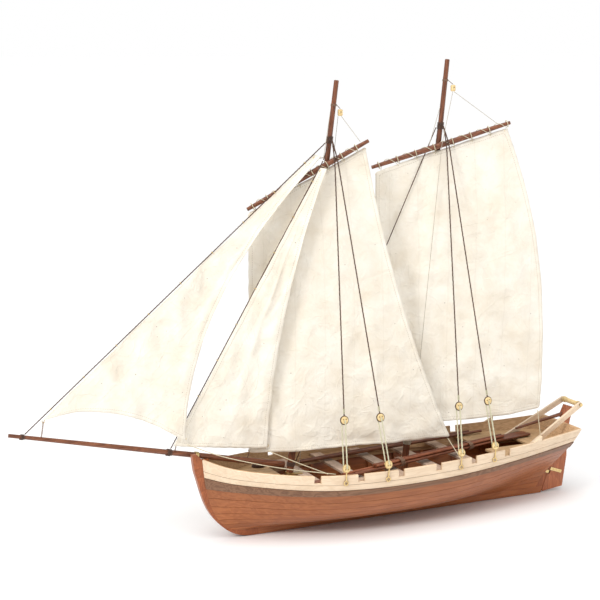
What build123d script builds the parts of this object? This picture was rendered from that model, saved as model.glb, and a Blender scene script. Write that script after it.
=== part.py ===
"""Two-masted lug-rigged ship's launch, a wooden kit model at 1:24.

Frame: +X aft, +Y starboard, +Z up, millimetres.  The origin is on the keel's underside,
amidships, on the centreline.  Every STEP file in parts/ is one named sub-part.
"""
from build123d import *
import math
import os
import numpy as np

# ---- driving dimensions -------------------------------------------------------------
HULL_LENGTH = 282.0      # rabbet at the stem head to the transom's top edge
HALF_BEAM = 45.3         # centreline to the outside of the planking, amidships
RAIL_HEIGHT = 45.5       # keel's underside to the rail, amidships
KEEL_WIDTH = 4.0
RABBET_HEIGHT = 4.5      # keel's underside to the garboard's lower edge
WEB_WIDTH = 1.5          # inner part of keel, stem and sternpost, between the planks
WEB_HEIGHT = 4.0         # how far that web stands above the rabbet
TRANSOM_RAKE = 0.471     # aft per upward millimetre
PLANK = 1.2
LINING = 0.8
WALE_PROUD = 0.5
BOTTOM_STRAKES = 8       # planks between keel and wale, each side
PLANK_EASE = 0.002       # share of a cross-section's length by which a plank's edge is eased
FRAME_WIDTH = 2.2
FRAME_DEPTH = 1.6
FRAME_COUNT = 10
RISER_HEIGHT = 2.5
TRANSOM_THICKNESS = 2.5
NOTCH_WIDTH = 4.8
NOTCH_DEPTH = 4.7
NOTCH_PITCH = 29.2
NOTCH_COUNT = 6
FIRST_NOTCH = -74.0
THWART_DROP = 7.8        # rail amidships down to the thwarts' top
THWART_WIDTH = 8.0
THWART_THICKNESS = 1.5
THWART_PITCH = 30.0
FIRST_THWART = -67.5
THWART_COUNT = 5
FLOOR_HEIGHT = 13.0
FLOORBOARD_WIDTH = 5.0
FLOORBOARD_GAP = 0.6
FLOORBOARD_THICKNESS = 1.0
BENCH_RISE = 3.8         # thwarts' top up to the stern benches' top
BENCH_FRONT = 70.0
WELL_WIDTH = 24.0        # foot well between the stern benches
WELL_END = 105.0
PLATFORM_DROP = 6.5      # rail amidships down to the bow platform's top
PLATFORM_AFT = -84.0
PLATFORM_FRONT = -131.0
MAST_DIAMETER = 5.0
MASTHEAD_DIAMETER = 3.2
STEP_HEIGHT = 3.0
BOWSPRIT_DIAMETER = 4.5
BOWSPRIT_TIP_DIAMETER = 2.4
YARD_DIAMETER = 3.8
YARD_TIP_DIAMETER = 2.4
SAIL_THICKNESS = 0.5
SHROUD = 0.8
STAY = 0.8
LINE = 0.45              # halyards
SHEET = 0.7              # sheets, the ropes that hold the sails' lower corners
LANYARD = 0.5
DEADEYE_DIAMETER = 5.0
DEADEYE_THICKNESS = 2.0
DEADEYE_SPREAD = 31.5    # lower deadeye's centre to upper deadeye's centre
CHAIN_DROP = 10.0        # lower deadeye's centre down to the chainplate's eye
HANK_WIRE = 0.4
OAR_DIAMETER = 2.2
OAR_LENGTH = 168.0
BLADE_LENGTH = 38.0
BLADE_WIDTH = 5.0
BLADE_THICKNESS = 0.9
HINGE_RAKE = 0.35        # rudder's pintle line, aft per upward millimetre
RUDDER_THICKNESS = 2.8
RUDDER_GAP = 0.5         # sternpost's after face to the rudder's rounded edge
PINTLE_DIAMETER = 1.0
BORE_CLEARANCE = 0.05    # radial, where a pin turns in a bore
STRAP_THICKNESS = 0.4
ARM_DEPTH = 3.6
ARM_THICKNESS = 2.0
ROLLER_DIAMETER = 3.4
AXLE_DIAMETER = 1.4
SIDE_PLAY = 0.35         # between the davit's roller and its arms

# ---- lines of the hull --------------------------------------------------------------
# Each cross-section is one cubic Bezier curve from the rabbet to the rail.  Its control
# points run along four lines, drawn for a hull of LINES_SIZE and stretched to the sizes
# above.  Breadths are measured from the keel's side, heights from the rabbet.
LINES_SIZE = (282.0, 43.3, 41.0)
SHARES = (0.0, 0.04, 0.11, 0.20, 0.33, 0.50, 0.68, 0.85, 1.0)
RABBET_X = (-110, -107, -98, -80, -50, 0, 49, 92, None)
BILGE_X = (-133, -124, -107, -84, -50, 0, 50, 97, None)
BILGE_Y = (0, 1.5, 6.5, 15.5, 26, 29.5, 22, 7.5, 1.2)
BILGE_Z = (0, 1.0, 1.5, 1.5, 2.3, 3.1, 4.8, 11, 17)
SIDE_X = (-137.5, -128.5, -110, -85, -50, 0, 50, 99, None)
SIDE_Y = (0, 5.5, 18, 31, 40.5, 43, 38.5, 28.5, 20)
SIDE_Z = (23.5, 23.5, 22.5, 19.5, 16, 15, 17.5, 23, 27.5)
RAIL_X = (-140, -130, -110, -85, -50, 0, 50, 100, None)
RAIL_Y = (0, 9.9, 23.1, 34.2, 41.9, 43.3, 38.8, 31.4, 23.6)
RAIL_Z = (51, 47.4, 44.2, 42.1, 40.9, 41, 41.9, 43.7, 46.5)
# Where the seams between the bands of planking run: bow, middle and stern share of the
# way from the rabbet to the rail.
WALE_LOWER = (0.75, 0.79, 0.735)
WALE_UPPER = (0.85, 0.845, 0.825)
TOP_SEAM = (0.905, 0.910, 0.900)
LINING_LOW = (0.62, 0.78, 0.62)

TRANSOM_TOP_X = HULL_LENGTH / 2 + 1.0
TRANSOM_TOP_Z = RABBET_HEIGHT + RAIL_Z[-1] * (RAIL_HEIGHT - RABBET_HEIGHT) / LINES_SIZE[2]


def transom_x(height):
    """Return where the transom's outer face is at a height, on the centreline."""
    return TRANSOM_TOP_X - TRANSOM_RAKE * (TRANSOM_TOP_Z - height)


def control_line(xs, ys, zs):
    """Return one line of control points, stretched to the hull's size."""
    stretch_x = HULL_LENGTH / LINES_SIZE[0]
    stretch_y = (HALF_BEAM - KEEL_WIDTH / 2) / LINES_SIZE[1]
    stretch_z = (RAIL_HEIGHT - RABBET_HEIGHT) / LINES_SIZE[2]
    points = []
    for x, y, z in zip(xs, ys, zs):
        height = RABBET_HEIGHT + z * stretch_z
        along = transom_x(height) if x is None else x * stretch_x
        points.append((along, KEEL_WIDTH / 2 + y * stretch_y, height))
    return np.array(points)


def natural_cubic(shares, values):
    """Return a function that gives the smooth curve through values at shares."""
    count = len(shares)
    step = np.diff(shares)
    system = np.eye(count)
    right = np.zeros_like(values)
    for i in range(1, count - 1):
        system[i, i - 1:i + 2] = step[i - 1], 2 * (step[i - 1] + step[i]), step[i]
        rise = (values[i + 1] - values[i]) / step[i]
        right[i] = 6 * (rise - (values[i] - values[i - 1]) / step[i - 1])
    bend = np.linalg.solve(system, right)

    def at(t):
        i = int(np.clip(np.searchsorted(shares, t) - 1, 0, count - 2))
        a = (shares[i + 1] - t) / step[i]
        b = 1 - a
        line = a * values[i] + b * values[i + 1]
        return line + ((a**3 - a) * bend[i] + (b**3 - b) * bend[i + 1]) * step[i]**2 / 6

    return at


NOUGHT = (0,) * len(SHARES)
CONTROL = [
    natural_cubic(np.array(SHARES), control_line(*line))
    for line in (
        (RABBET_X, NOUGHT, NOUGHT),
        (BILGE_X, BILGE_Y, BILGE_Z),
        (SIDE_X, SIDE_Y, SIDE_Z),
        (RAIL_X, RAIL_Y, RAIL_Z),
    )
]


def hull_point(t, s):
    """Return a point on the outside of the planking, as an array, starboard side.

    t goes from the stem (0) to the transom (1), s from the rabbet (0) to the rail (1).
    """
    a, b, c, d = (line(t) for line in CONTROL)
    r = 1 - s
    return r**3 * a + 3 * r * r * s * b + 3 * r * s * s * c + s**3 * d


def hull_skin(t, s, depth=0.0):
    """Return a point that lies depth inside the planking's outer face."""
    small = 1e-4
    along = hull_point(t + small, s) - hull_point(t - small, s)
    up = hull_point(t, s + small) - hull_point(t, s - small)
    outward = np.cross(up, along)
    outward = outward / np.linalg.norm(outward)
    if outward[1] < 0:
        outward = -outward
    point = hull_point(t, s) - depth * outward
    point[1] = max(point[1], WEB_WIDTH / 2)
    return point


def seam(shares, t):
    """Return a seam's share at t, from its shares at bow, middle and stern."""
    bow, middle, stern = shares
    return bow * (1 - t) * (1 - 2 * t) + middle * 4 * t * (1 - t) + stern * t * (2 * t - 1)


def share_at(x, s=1.0):
    """Return t where the line of share s passes X = x."""
    low, high = 0.0, 1.0
    for _ in range(40):
        t = (low + high) / 2
        if hull_point(t, s)[0] < x:
            low = t
        else:
            high = t
    return (low + high) / 2


def rail_at(x, depth=0.0):
    """Return the rail's point at X = x, starboard side."""
    return hull_skin(share_at(x), 1.0, depth)


# ---- solids from curves -------------------------------------------------------------
def close_between(front, back, tolerance=0.002):
    """Return the solid between two grids of points of the same size."""
    skins = [
        Face.make_surface_from_array_of_points([[Vector(*p) for p in row] for row in grid],
                                               tol=tolerance, min_deg=3, max_deg=5)
        for grid in (front, back)
    ]
    sides = [
        Face.make_surface_from_curves(near, far)
        for near, far in zip(skins[0].edges(), skins[1].edges())
    ]
    solid = Solid(Shell(skins + sides))
    return solid if solid.volume > 0 else Solid(-solid)


def mirrored(solid):
    """Return the same piece for the port side."""
    return solid.mirror(Plane.XZ)


def planking_panel(low, high, inner, outer=0.0, span=(0.0, 1.0), eased=0.0, rows=34, steps=6):
    """Return a starboard panel of planking between two seams, from outer to inner depth."""
    grids = []
    for depth, gap in ((outer, eased), (inner, 0.0)):
        grid = []
        for t in np.linspace(span[0], span[1], rows):
            bottom = seam(low, t) + gap
            top = seam(high, t) - gap
            grid.append([hull_skin(t, s, depth) for s in np.linspace(bottom, top, steps)])
        grids.append(grid)
    return close_between(*grids)


def rod(start, end, radius, end_radius=None):
    """Return a straight round bar, tapered when it is given a second radius."""
    path = Vector(*end) - Vector(*start)
    plane = Plane(origin=Vector(*start), z_dir=path)
    if end_radius is None or abs(end_radius - radius) < 1e-6:
        return Solid.make_cylinder(radius, path.length, plane)
    return Solid.make_cone(radius, end_radius, path.length, plane)


def spar(start, end, middle, tip):
    """Return a round spar that swells gently from its tips to its middle."""
    path = Vector(*end) - Vector(*start)
    side = ThreePointArc((tip, 0), (middle, path.length / 2), (tip, path.length))
    ends = Polyline((tip, path.length), (0, path.length), (0, 0), (tip, 0))
    profile = Plane.XZ * make_face([side] + ends.edges())
    turned = revolve(profile, Axis.Z)
    return turned.moved(Plane(origin=Vector(*start), z_dir=path).location).solid()


def plate(points, thickness, closed=None):
    """Return a flat plate with this outline of X, Z points, centred on the centreline."""
    outline = closed if closed else Polyline(*points, close=True).edges()
    face = Plane.XZ * make_face(outline)
    return extrude(face, thickness / 2, both=True).solid()


def bar(start, end, depth, thickness):
    """Return a straight bar of rectangular section, its depth upright."""
    path = Vector(*end) - Vector(*start)
    side = path.cross(Vector(0, 0, 1))
    plane = Plane(origin=Vector(*start), x_dir=side, z_dir=path)
    section = plane * Rectangle(thickness, depth)
    return extrude(section, path.length, dir=path.normalized()).solid()


def tube(points, diameter, bend=0.45):
    """Return a rope along straight runs joined by arcs as large as the runs allow."""
    route = [Vector(*p) for p in points]
    radii = []
    for before, corner, after in zip(route, route[1:], route[2:]):
        turn = math.radians((corner - before).get_angle(after - corner))
        shorter = min((corner - before).length, (after - corner).length)
        radii.append(bend * shorter / math.tan(turn / 2))
    path = FilletPolyline(*route, radius=radii)
    section = Plane(origin=path @ 0, z_dir=path % 0) * Circle(diameter / 2)
    return sweep(section, path=path).solid()


# ---- backbone and planking ----------------------------------------------------------
STEM_HEAD_RISE = 4.0
STEM_FACE = 7.0          # rabbet forward to the stem's face, at the rail
SCARF_X = -100.0 * HULL_LENGTH / LINES_SIZE[0]
STERNPOST_FOOT = transom_x(RABBET_HEIGHT) + 4.3
STERNPOST_TOP = TRANSOM_TOP_Z - 10.0


def sternpost_x(height):
    """Return the sternpost's after face at a height."""
    return STERNPOST_FOOT + HINGE_RAKE * height


def rabbet_curve(depth):
    """Return the stem's rabbet as X, Z points from the scarf to the rail."""
    curve = [hull_point(0.0, s) for s in np.linspace(0, 1, 9)]
    return [(p[0] + depth, p[2]) for p in curve]


def backbone():
    web_top = RABBET_HEIGHT + WEB_HEIGHT
    after = STERNPOST_FOOT
    keel = plate([(SCARF_X, 0), (after, 0), (sternpost_x(RABBET_HEIGHT), RABBET_HEIGHT),
                  (SCARF_X, RABBET_HEIGHT)], KEEL_WIDTH)
    web = plate([(SCARF_X, RABBET_HEIGHT), (transom_x(RABBET_HEIGHT) - 2, RABBET_HEIGHT),
                 (transom_x(web_top) - 3, web_top), (SCARF_X, web_top)], WEB_WIDTH)
    stretch_x = HULL_LENGTH / LINES_SIZE[0]
    rabbet = rabbet_curve(0)
    rail_x, rail_z = rabbet[-1]
    face = [(SCARF_X, 0), (-112 * stretch_x, 0.8), (-120 * stretch_x, 3.9), (-127.5 * stretch_x, 9.7),
            (-133.5 * stretch_x, 0.30 * rail_z), (-139.3 * stretch_x, 0.505 * rail_z),
            (-144.3 * stretch_x, 0.80 * rail_z), (rail_x - STEM_FACE, rail_z + STEM_HEAD_RISE)]
    outline = [
        Spline(*face, tangents=[(-1, 0), (-0.12, 1)]),
        Polyline(face[-1], (rail_x - STEM_FACE + 3.4, rail_z + STEM_HEAD_RISE), rabbet[-1]),
        Spline(*reversed(rabbet)),
        Polyline(rabbet[0], (SCARF_X, RABBET_HEIGHT), face[0]),
    ]
    stem = plate(None, KEEL_WIDTH, [edge for line in outline for edge in line.edges()])
    apron_depth = 5.0
    apron = [
        Spline(*rabbet),
        Polyline(rabbet[-1], (rail_x + apron_depth, rail_z)),
        Spline(*[(x + apron_depth, z) for x, z in reversed(rabbet[3:])]),
        Polyline((rabbet[3][0] + apron_depth, rabbet[3][1]), (SCARF_X, web_top),
                 (SCARF_X, RABBET_HEIGHT), rabbet[0]),
    ]
    stem += plate(None, WEB_WIDTH, [edge for line in apron for edge in line.edges()])
    foot_z = RABBET_HEIGHT
    post = plate([(transom_x(foot_z), foot_z), (sternpost_x(foot_z), foot_z),
                  (sternpost_x(STERNPOST_TOP), STERNPOST_TOP),
                  (transom_x(STERNPOST_TOP), STERNPOST_TOP)], KEEL_WIDTH)
    return {"keel": (keel + web).solid(), "stem": stem.solid(), "sternpost": post}


def interior(depth):
    """Return the space inside the hull, this far in from the planking's outer face."""
    grids = []
    for side in (1, -1):
        grid = []
        for t in np.linspace(0.0, 1.03, 31):
            row = [hull_skin(t, s, depth) for s in np.linspace(0, 1, 9)]
            grid.append([(p[0], side * p[1], p[2]) for p in row])
        grids.append(grid)
    return close_between(*grids)


def transom_slab(front, back):
    """Return everything between two planes, this far forward of the transom's face."""
    plane = Plane(origin=(transom_x(0), 0, 0), x_dir=(0, 1, 0), z_dir=(-1, 0, TRANSOM_RAKE))
    slab = extrude(plane.offset(back) * Rectangle(3 * HALF_BEAM, 6 * RAIL_HEIGHT), front - back)
    return slab.solid()


LINED = interior(PLANK + LINING)
FRAMED = interior(PLANK + FRAME_DEPTH)
STRETCH = HULL_LENGTH / LINES_SIZE[0]
THWART_TOP = RAIL_HEIGHT - THWART_DROP
THWART_BOTTOM = THWART_TOP - THWART_THICKNESS
BENCH_TOP = THWART_TOP + BENCH_RISE
PLATFORM_TOP = RAIL_HEIGHT - PLATFORM_DROP
TRANSOM_BOTTOM = 12.0
THWARTS_X = [(FIRST_THWART + i * THWART_PITCH) * STRETCH for i in range(THWART_COUNT)]


def notches():
    """Return the cutters of the rowlock notches, starboard side."""
    cutters = []
    for i in range(NOTCH_COUNT):
        rail = rail_at((FIRST_NOTCH + i * NOTCH_PITCH) * STRETCH)
        cutters.append(Pos(*rail) * Box(NOTCH_WIDTH, 14, 2 * NOTCH_DEPTH))
    return cutters


def bulwark(low, inner, outer, cutters, eased):
    panel = planking_panel(low, (1, 1, 1), inner, outer, eased=eased)
    for cutter in cutters:
        panel = panel - cutter
    return panel.solid()


def planking(bowsprit_way):
    """Return the planking, wales and bulwarks of both sides."""
    share = [tuple(v * i / BOTTOM_STRAKES for v in WALE_LOWER) for i in range(BOTTOM_STRAKES + 1)]
    bottom = [planking_panel(low, high, PLANK, eased=PLANK_EASE)
              for low, high in zip(share, share[1:])]
    wale = planking_panel(WALE_LOWER, WALE_UPPER, PLANK, -WALE_PROUD, eased=PLANK_EASE)
    lower = planking_panel(WALE_UPPER, TOP_SEAM, PLANK, eased=PLANK_EASE)
    cutters = notches()
    upper = bulwark(TOP_SEAM, PLANK, 0.0, cutters, PLANK_EASE)
    lining = bulwark(LINING_LOW, PLANK + LINING, PLANK, cutters, 0.0)
    bands = {"planking": bottom, "wale": [wale], "lower_strake": [lower],
             "upper_strake": [upper], "bulwark_lining": [lining]}
    nodes = {}
    for name, solids in bands.items():
        nodes[name + "_starboard"] = [solid - bowsprit_way for solid in solids]
        nodes[name + "_port"] = [mirrored(solid) for solid in solids]
    return nodes


def frames():
    ribs = []
    half = FRAME_WIDTH / HULL_LENGTH / 2
    for t in np.linspace(0.13, 0.82, FRAME_COUNT):
        rib = planking_panel((0.04, 0.04, 0.04), LINING_LOW, PLANK + FRAME_DEPTH, PLANK,
                             span=(t - half, t + half), rows=4, steps=9)
        ribs += [rib, mirrored(rib)]
    return ribs


def boards(x_range, top, thickness, width, gap, inside, openings=()):
    """Return planks laid fore and aft, trimmed to the hull's inside."""
    length = x_range[1] - x_range[0]
    middle = (x_range[0] + x_range[1]) / 2
    count = 2 * int(HALF_BEAM / (width + gap)) + 1
    planks = []
    for i in range(count):
        y = (i - (count - 1) / 2) * (width + gap)
        plank = Pos(middle, y, top - thickness / 2) * Box(length, width, thickness)
        for opening in openings:
            plank = plank - opening
        planks += [s for s in (plank & inside).solids() if s.volume > 2.0]
    return planks


def thwarts():
    seats = []
    for x in THWARTS_X:
        seat = Pos(x, 0, THWART_TOP - THWART_THICKNESS / 2) * Box(THWART_WIDTH, 120, THWART_THICKNESS)
        seats.append((seat & LINED).solid())
    return seats


def risers():
    """Return the two strips that carry the thwarts' ends."""
    first, last = THWARTS_X[0] - 12, BENCH_FRONT * STRETCH + 40
    slab = Pos((first + last) / 2, 0, THWART_BOTTOM - RISER_HEIGHT / 2) * Box(
        last - first, 120, RISER_HEIGHT)
    return [s for s in ((LINED & slab) - FRAMED).solids() if s.volume > 5]


def stern_benches():
    """Return the port, starboard and after boards of the stern seat."""
    z = BENCH_TOP - THWART_THICKNESS / 2
    front, end = BENCH_FRONT * STRETCH, WELL_END * STRETCH
    far = TRANSOM_TOP_X + 10
    beyond = transom_slab(TRANSOM_THICKNESS, -30)
    side = Pos((front + end) / 2, WELL_WIDTH / 2 + 30, z) * Box(end - front, 60, THWART_THICKNESS)
    after = Pos((end + far) / 2, 0, z) * Box(far - end, 120, THWART_THICKNESS)
    seats = [side & LINED, mirrored(side) & LINED, (after & LINED) - beyond]
    return [seat.solid() for seat in seats]


# ---- spars --------------------------------------------------------------------------
class Mast:
    """A tapered mast that rakes aft, described by its foot, height and diameters."""

    def __init__(self, x_foot, rake, top):
        self.x_foot = x_foot
        self.rake = rake
        self.foot = RABBET_HEIGHT + WEB_HEIGHT + 1.0
        self.top = top

    def at(self, height):
        return (self.x_foot + self.rake * height, 0.0, height)

    def radius(self, height):
        share = (height - self.foot) / (self.top - self.foot)
        return (MAST_DIAMETER + (MASTHEAD_DIAMETER - MAST_DIAMETER) * share) / 2

    def solid(self):
        mast = rod(self.at(self.foot), self.at(self.top), self.radius(self.foot),
                   self.radius(self.top))
        return fillet(mast.edges().sort_by(Axis.Z)[-1], 0.6).solid()

    def wrap(self, height, length, thickness):
        """Return a band round the mast, its inside on the mast's surface."""
        low, high = height - length / 2, height + length / 2
        outer = rod(self.at(low), self.at(high), self.radius(height) + thickness)
        return (outer - rod(self.at(self.foot), self.at(self.top), self.radius(self.foot),
                            self.radius(self.top))).solid()


FORE = Mast(-81.5 * STRETCH, 0.130, 299.8)
MAIN = Mast(8.0 * STRETCH, 0.105, 313.1)
FORE_COLLAR, MAIN_COLLAR = 261.0, 268.5
FORE_STROP, MAIN_STROP = 283.7, 299.0

BOWSPRIT_Y = KEEL_WIDTH / 2 + BOWSPRIT_DIAMETER / 2 + 0.1
BOWSPRIT_STEEVE = 0.218
BOWSPRIT_HEEL = (-79.0 * STRETCH, BOWSPRIT_Y, RAIL_HEIGHT - 1.6)
BOWSPRIT_REACH = 186.3
BOWSPRIT_TIP = (BOWSPRIT_HEEL[0] - BOWSPRIT_REACH, BOWSPRIT_Y,
                BOWSPRIT_HEEL[2] + BOWSPRIT_REACH * BOWSPRIT_STEEVE)
OUTER_COLLAR_REACH, INNER_COLLAR_REACH = 177.9, 81.8


def on_bowsprit(reach):
    """Return the bowsprit's centre and radius this far forward of its heel, along X."""
    share = reach / BOWSPRIT_REACH
    point = (BOWSPRIT_HEEL[0] - reach, BOWSPRIT_Y, BOWSPRIT_HEEL[2] + reach * BOWSPRIT_STEEVE)
    radius = (BOWSPRIT_DIAMETER + (BOWSPRIT_TIP_DIAMETER - BOWSPRIT_DIAMETER) * share) / 2
    return point, radius


def bowsprit_rod(extra=0.0):
    return rod(BOWSPRIT_HEEL, BOWSPRIT_TIP, BOWSPRIT_DIAMETER / 2 + extra,
               BOWSPRIT_TIP_DIAMETER / 2 + extra)


def bowsprit_wrap(reach, length, thickness):
    """Return a band round the bowsprit, its inside on the spar's surface."""
    radius = on_bowsprit(reach)[1] + thickness
    outer = rod(on_bowsprit(reach - length / 2)[0], on_bowsprit(reach + length / 2)[0], radius)
    return (outer - bowsprit_rod()).solid()


class Yard:
    """A lug yard slung on its mast's port side."""

    def __init__(self, mast, sling, forward, aft, peak, brace):
        self.mast = mast
        self.peak = peak
        self.brace = brace
        self.sling = (mast.at(sling)[0], -mast.radius(sling) - YARD_DIAMETER / 2 - 1.1, sling)
        self.ends = (-forward, aft)

    def at(self, along):
        """Return the point of the yard's axis this far aft of the sling, along X."""
        x, y, z = self.sling
        return (x + along, y - self.brace * along, z + self.peak * along)

    def solid(self):
        return spar(self.at(self.ends[0]), self.at(self.ends[1]), YARD_DIAMETER / 2,
                    YARD_TIP_DIAMETER / 2)


FORE_YARD = Yard(FORE, 246.6, 53.5, 25.1, 0.555, 0.242)
MAIN_YARD = Yard(MAIN, 256.0, 46.6, 45.6, 0.317, 0.282)


def mast_clamps():
    """Return the brass clamps that hold the masts to their thwarts."""
    clamps = []
    for mast, thwart_x in ((FORE, THWARTS_X[0]), (MAIN, THWARTS_X[3])):
        x = mast.at(THWART_TOP)[0]
        edge = thwart_x - THWART_WIDTH / 2
        hoop = mast.wrap(THWART_TOP + 0.9, 1.8, 0.7)
        tab = Pos((x + edge + 4) / 2, 0, THWART_TOP + 0.3) * Box(edge + 4 - x, 4.0, 0.6)
        around = rod(mast.at(THWART_TOP - 6), mast.at(THWART_TOP + 6), mast.radius(THWART_TOP) + 0.02)
        clamps.append((hoop + (tab - around)).solid())
    return clamps


def mast_steps():
    base = RABBET_HEIGHT + WEB_HEIGHT
    steps = []
    for mast in (FORE, MAIN):
        block = Pos(mast.at(base)[0], 0, base + STEP_HEIGHT / 2) * Box(10, 6, STEP_HEIGHT)
        steps.append((block - rod(mast.at(mast.foot), mast.at(mast.foot + 20),
                                  mast.radius(mast.foot))).solid())
    return steps


# ---- sails --------------------------------------------------------------------------
CLOTH_GAP = 0.35         # between a sail and the mast or stay that it lies against


def cloth(corners, hollows, across=None, rows=20, columns=16, tolerance=0.002):
    """Return a sail as a thin solid.

    corners are X, Y, Z points: luff top, leech top, luff foot, leech foot.  hollows say how
    far the luff and leech bow aft and the foot bows up.  across gives Y from X and Z, in
    place of the corners' own.
    """
    luff_top, leech_top, luff_foot, leech_foot = (np.array(c, float) for c in corners)
    front, back = [], []
    for v in np.linspace(0, 1, rows):
        bow = 4 * v * (1 - v)
        luff = luff_top + (luff_foot - luff_top) * v + np.array((hollows[0] * bow, 0, 0))
        leech = leech_top + (leech_foot - leech_top) * v + np.array((hollows[1] * bow, 0, 0))
        near, far = [], []
        for u in np.linspace(0, 1, columns):
            x, y, z = luff + (leech - luff) * u
            z += hollows[2] * 4 * u * (1 - u) * v**3
            if across:
                y = across(x, z)
            near.append((x, y - SAIL_THICKNESS / 2, z))
            far.append((x, y + SAIL_THICKNESS / 2, z))
        front.append(near)
        back.append(far)
    return close_between(front, back, tolerance)


def soft_ramp(distance, width=3.0):
    """Return 0 well below nought and the distance itself well above, smoothly joined."""
    return width * math.log1p(math.exp(distance / width))


def lug_across(mast, aft_slope, peak_slope, fore_slope, tuck):
    """Return Y of a lug sail that lies against its mast's port side.

    The slopes are port per millimetre aft at the foot and at the head, and starboard per
    millimetre forward.  tuck is how far the sail steps behind the stay ahead of the mast.
    """
    def across(x, z):
        past = x - mast.at(z)[0]
        slope = aft_slope + (peak_slope - aft_slope) * max(0.0, (z - 50) / 200)**1.5
        side = -(mast.radius(z) + SAIL_THICKNESS / 2 + CLOTH_GAP + 0.693 * 3 * fore_slope)
        step = tuck * (1 - math.exp(-(min(0.0, past) / 4.5)**2))
        return side - slope * soft_ramp(past) + fore_slope * soft_ramp(-past) + step
    return across


def foresail():
    throat, peak = FORE_YARD.at(-52.5), FORE_YARD.at(24.0)
    foot = FORE.at(54.0)[0]
    corners = [(throat[0], 0, throat[2] - 3.2), (peak[0], 0, peak[2] - 3.4),
               (foot - 30.5, 0, 55.0), (foot + 115.0, 0, 54.0)]
    return cloth(corners, (0.0, -7.0, 0.0), lug_across(FORE, 0.065, 0.24, 0.25, 0.0))


def mainsail():
    throat, peak = MAIN_YARD.at(-45.5), MAIN_YARD.at(44.5)
    foot = MAIN.at(67.0)[0]
    corners = [(throat[0], 0, throat[2] - 3.2), (peak[0], 0, peak[2] - 3.4),
               (foot - 26.0, 0, 68.0), (foot + 101.0, 0, 66.0)]
    return cloth(corners, (0.0, 11.5, -3.5), lug_across(MAIN, 0.055, 0.28, 0.09, 3.4),
                 rows=24, columns=56, tolerance=0.1)


OUTER_STAY_TOP = (FORE.at(FORE_COLLAR)[0] - 2.2, -2.6, FORE_COLLAR)
OUTER_STAY = (on_bowsprit(OUTER_COLLAR_REACH)[0], OUTER_STAY_TOP)
INNER_STAY = (on_bowsprit(INNER_COLLAR_REACH)[0], (FORE.at(248)[0] - 6.5, -7.4, 248.0))


def on_stay(stay, share):
    """Return the point this share of the way up a stay."""
    low, high = stay
    return tuple(a + (b - a) * share for a, b in zip(low, high))


def jib(stay, shares, drop, clew, hollows):
    """Return a jib whose luff hangs just under its stay."""
    tack = np.array(on_stay(stay, shares[0])) + (drop * 0.3, 0, -drop)
    head = np.array(on_stay(stay, shares[1])) + (drop * 0.3, 0, -drop)
    return cloth([head, head + (2.5, -2.6, 0), tack, clew], hollows)


OUTER_CLEW = (BOWSPRIT_HEEL[0] - 72.5, -1.0, 69.0)
INNER_CLEW = (BOWSPRIT_HEEL[0] - 14.5, -1.0, 58.0)


def outer_jib():
    return jib(OUTER_STAY, (0.055, 0.955), 2.2, OUTER_CLEW, (0.0, -24.0, 12.5))


def inner_jib():
    return jib(INNER_STAY, (0.03, 0.985), 2.2, INNER_CLEW, (0.0, -8.0, 0.0))


# ---- standing rigging ---------------------------------------------------------------
SHROUD_FEET = ((FORE, FORE_COLLAR, -55.8), (FORE, FORE_COLLAR, -25.9),
               (MAIN, MAIN_COLLAR, 31.3), (MAIN, MAIN_COLLAR, 60.2))
DEADEYE_RISE = 5.0       # rail up to the lower deadeye's centre
HOLE_RING = 1.15         # deadeye's centre to its holes' centres


def knee(yard, low, high):
    """Return where a port shroud passes outside a yard, from its two ends."""
    for share in np.linspace(0.5, 1.0, 501):
        point = low + (high - low) * share
        spar = yard.at(point.X - yard.sling[0])
        if point.Z > spar[2]:
            return Vector(point.X, spar[1] - YARD_DIAMETER / 2 - SHROUD / 2 - 1.0, point.Z)
    return high


def shroud_lines():
    """Return mast end, upper deadeye, lower deadeye and eye of each port shroud."""
    lines = []
    for mast, collar, x in SHROUD_FEET:
        x = x * STRETCH
        rail = rail_at(x)
        lower = Vector(x, -rail[1] - 0.4, rail[2] + DEADEYE_RISE)
        top = Vector(*mast.at(collar)) + Vector(0.4, -mast.radius(collar) - 1.6, 0)
        upper = lower + (top - lower).normalized() * DEADEYE_SPREAD
        eye_t = share_at(x)
        skin = min((hull_skin(eye_t, s, 0) for s in np.linspace(0.85, 1, 61)),
                   key=lambda p: abs(p[2] - (lower.Z - CHAIN_DROP)))
        eye = Vector(x, -skin[1] - 0.3, skin[2])
        lines.append((top, upper, lower, eye))
    return lines


def deadeye(centre, up, bore):
    """Return a round deadeye with three holes, its face to port."""
    plane = Plane(origin=centre, x_dir=up, z_dir=up.cross(Vector(1, 0, 0)))
    disc = Cylinder(DEADEYE_DIAMETER / 2, DEADEYE_THICKNESS)
    disc = fillet(disc.edges(), 0.5)
    for angle in bore:
        at = (HOLE_RING * math.cos(math.radians(angle)), HOLE_RING * math.sin(math.radians(angle)))
        disc -= Pos(*at, 0) * Cylinder(0.42, 2 * DEADEYE_THICKNESS)
    return disc.moved(plane.location).solid()


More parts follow.
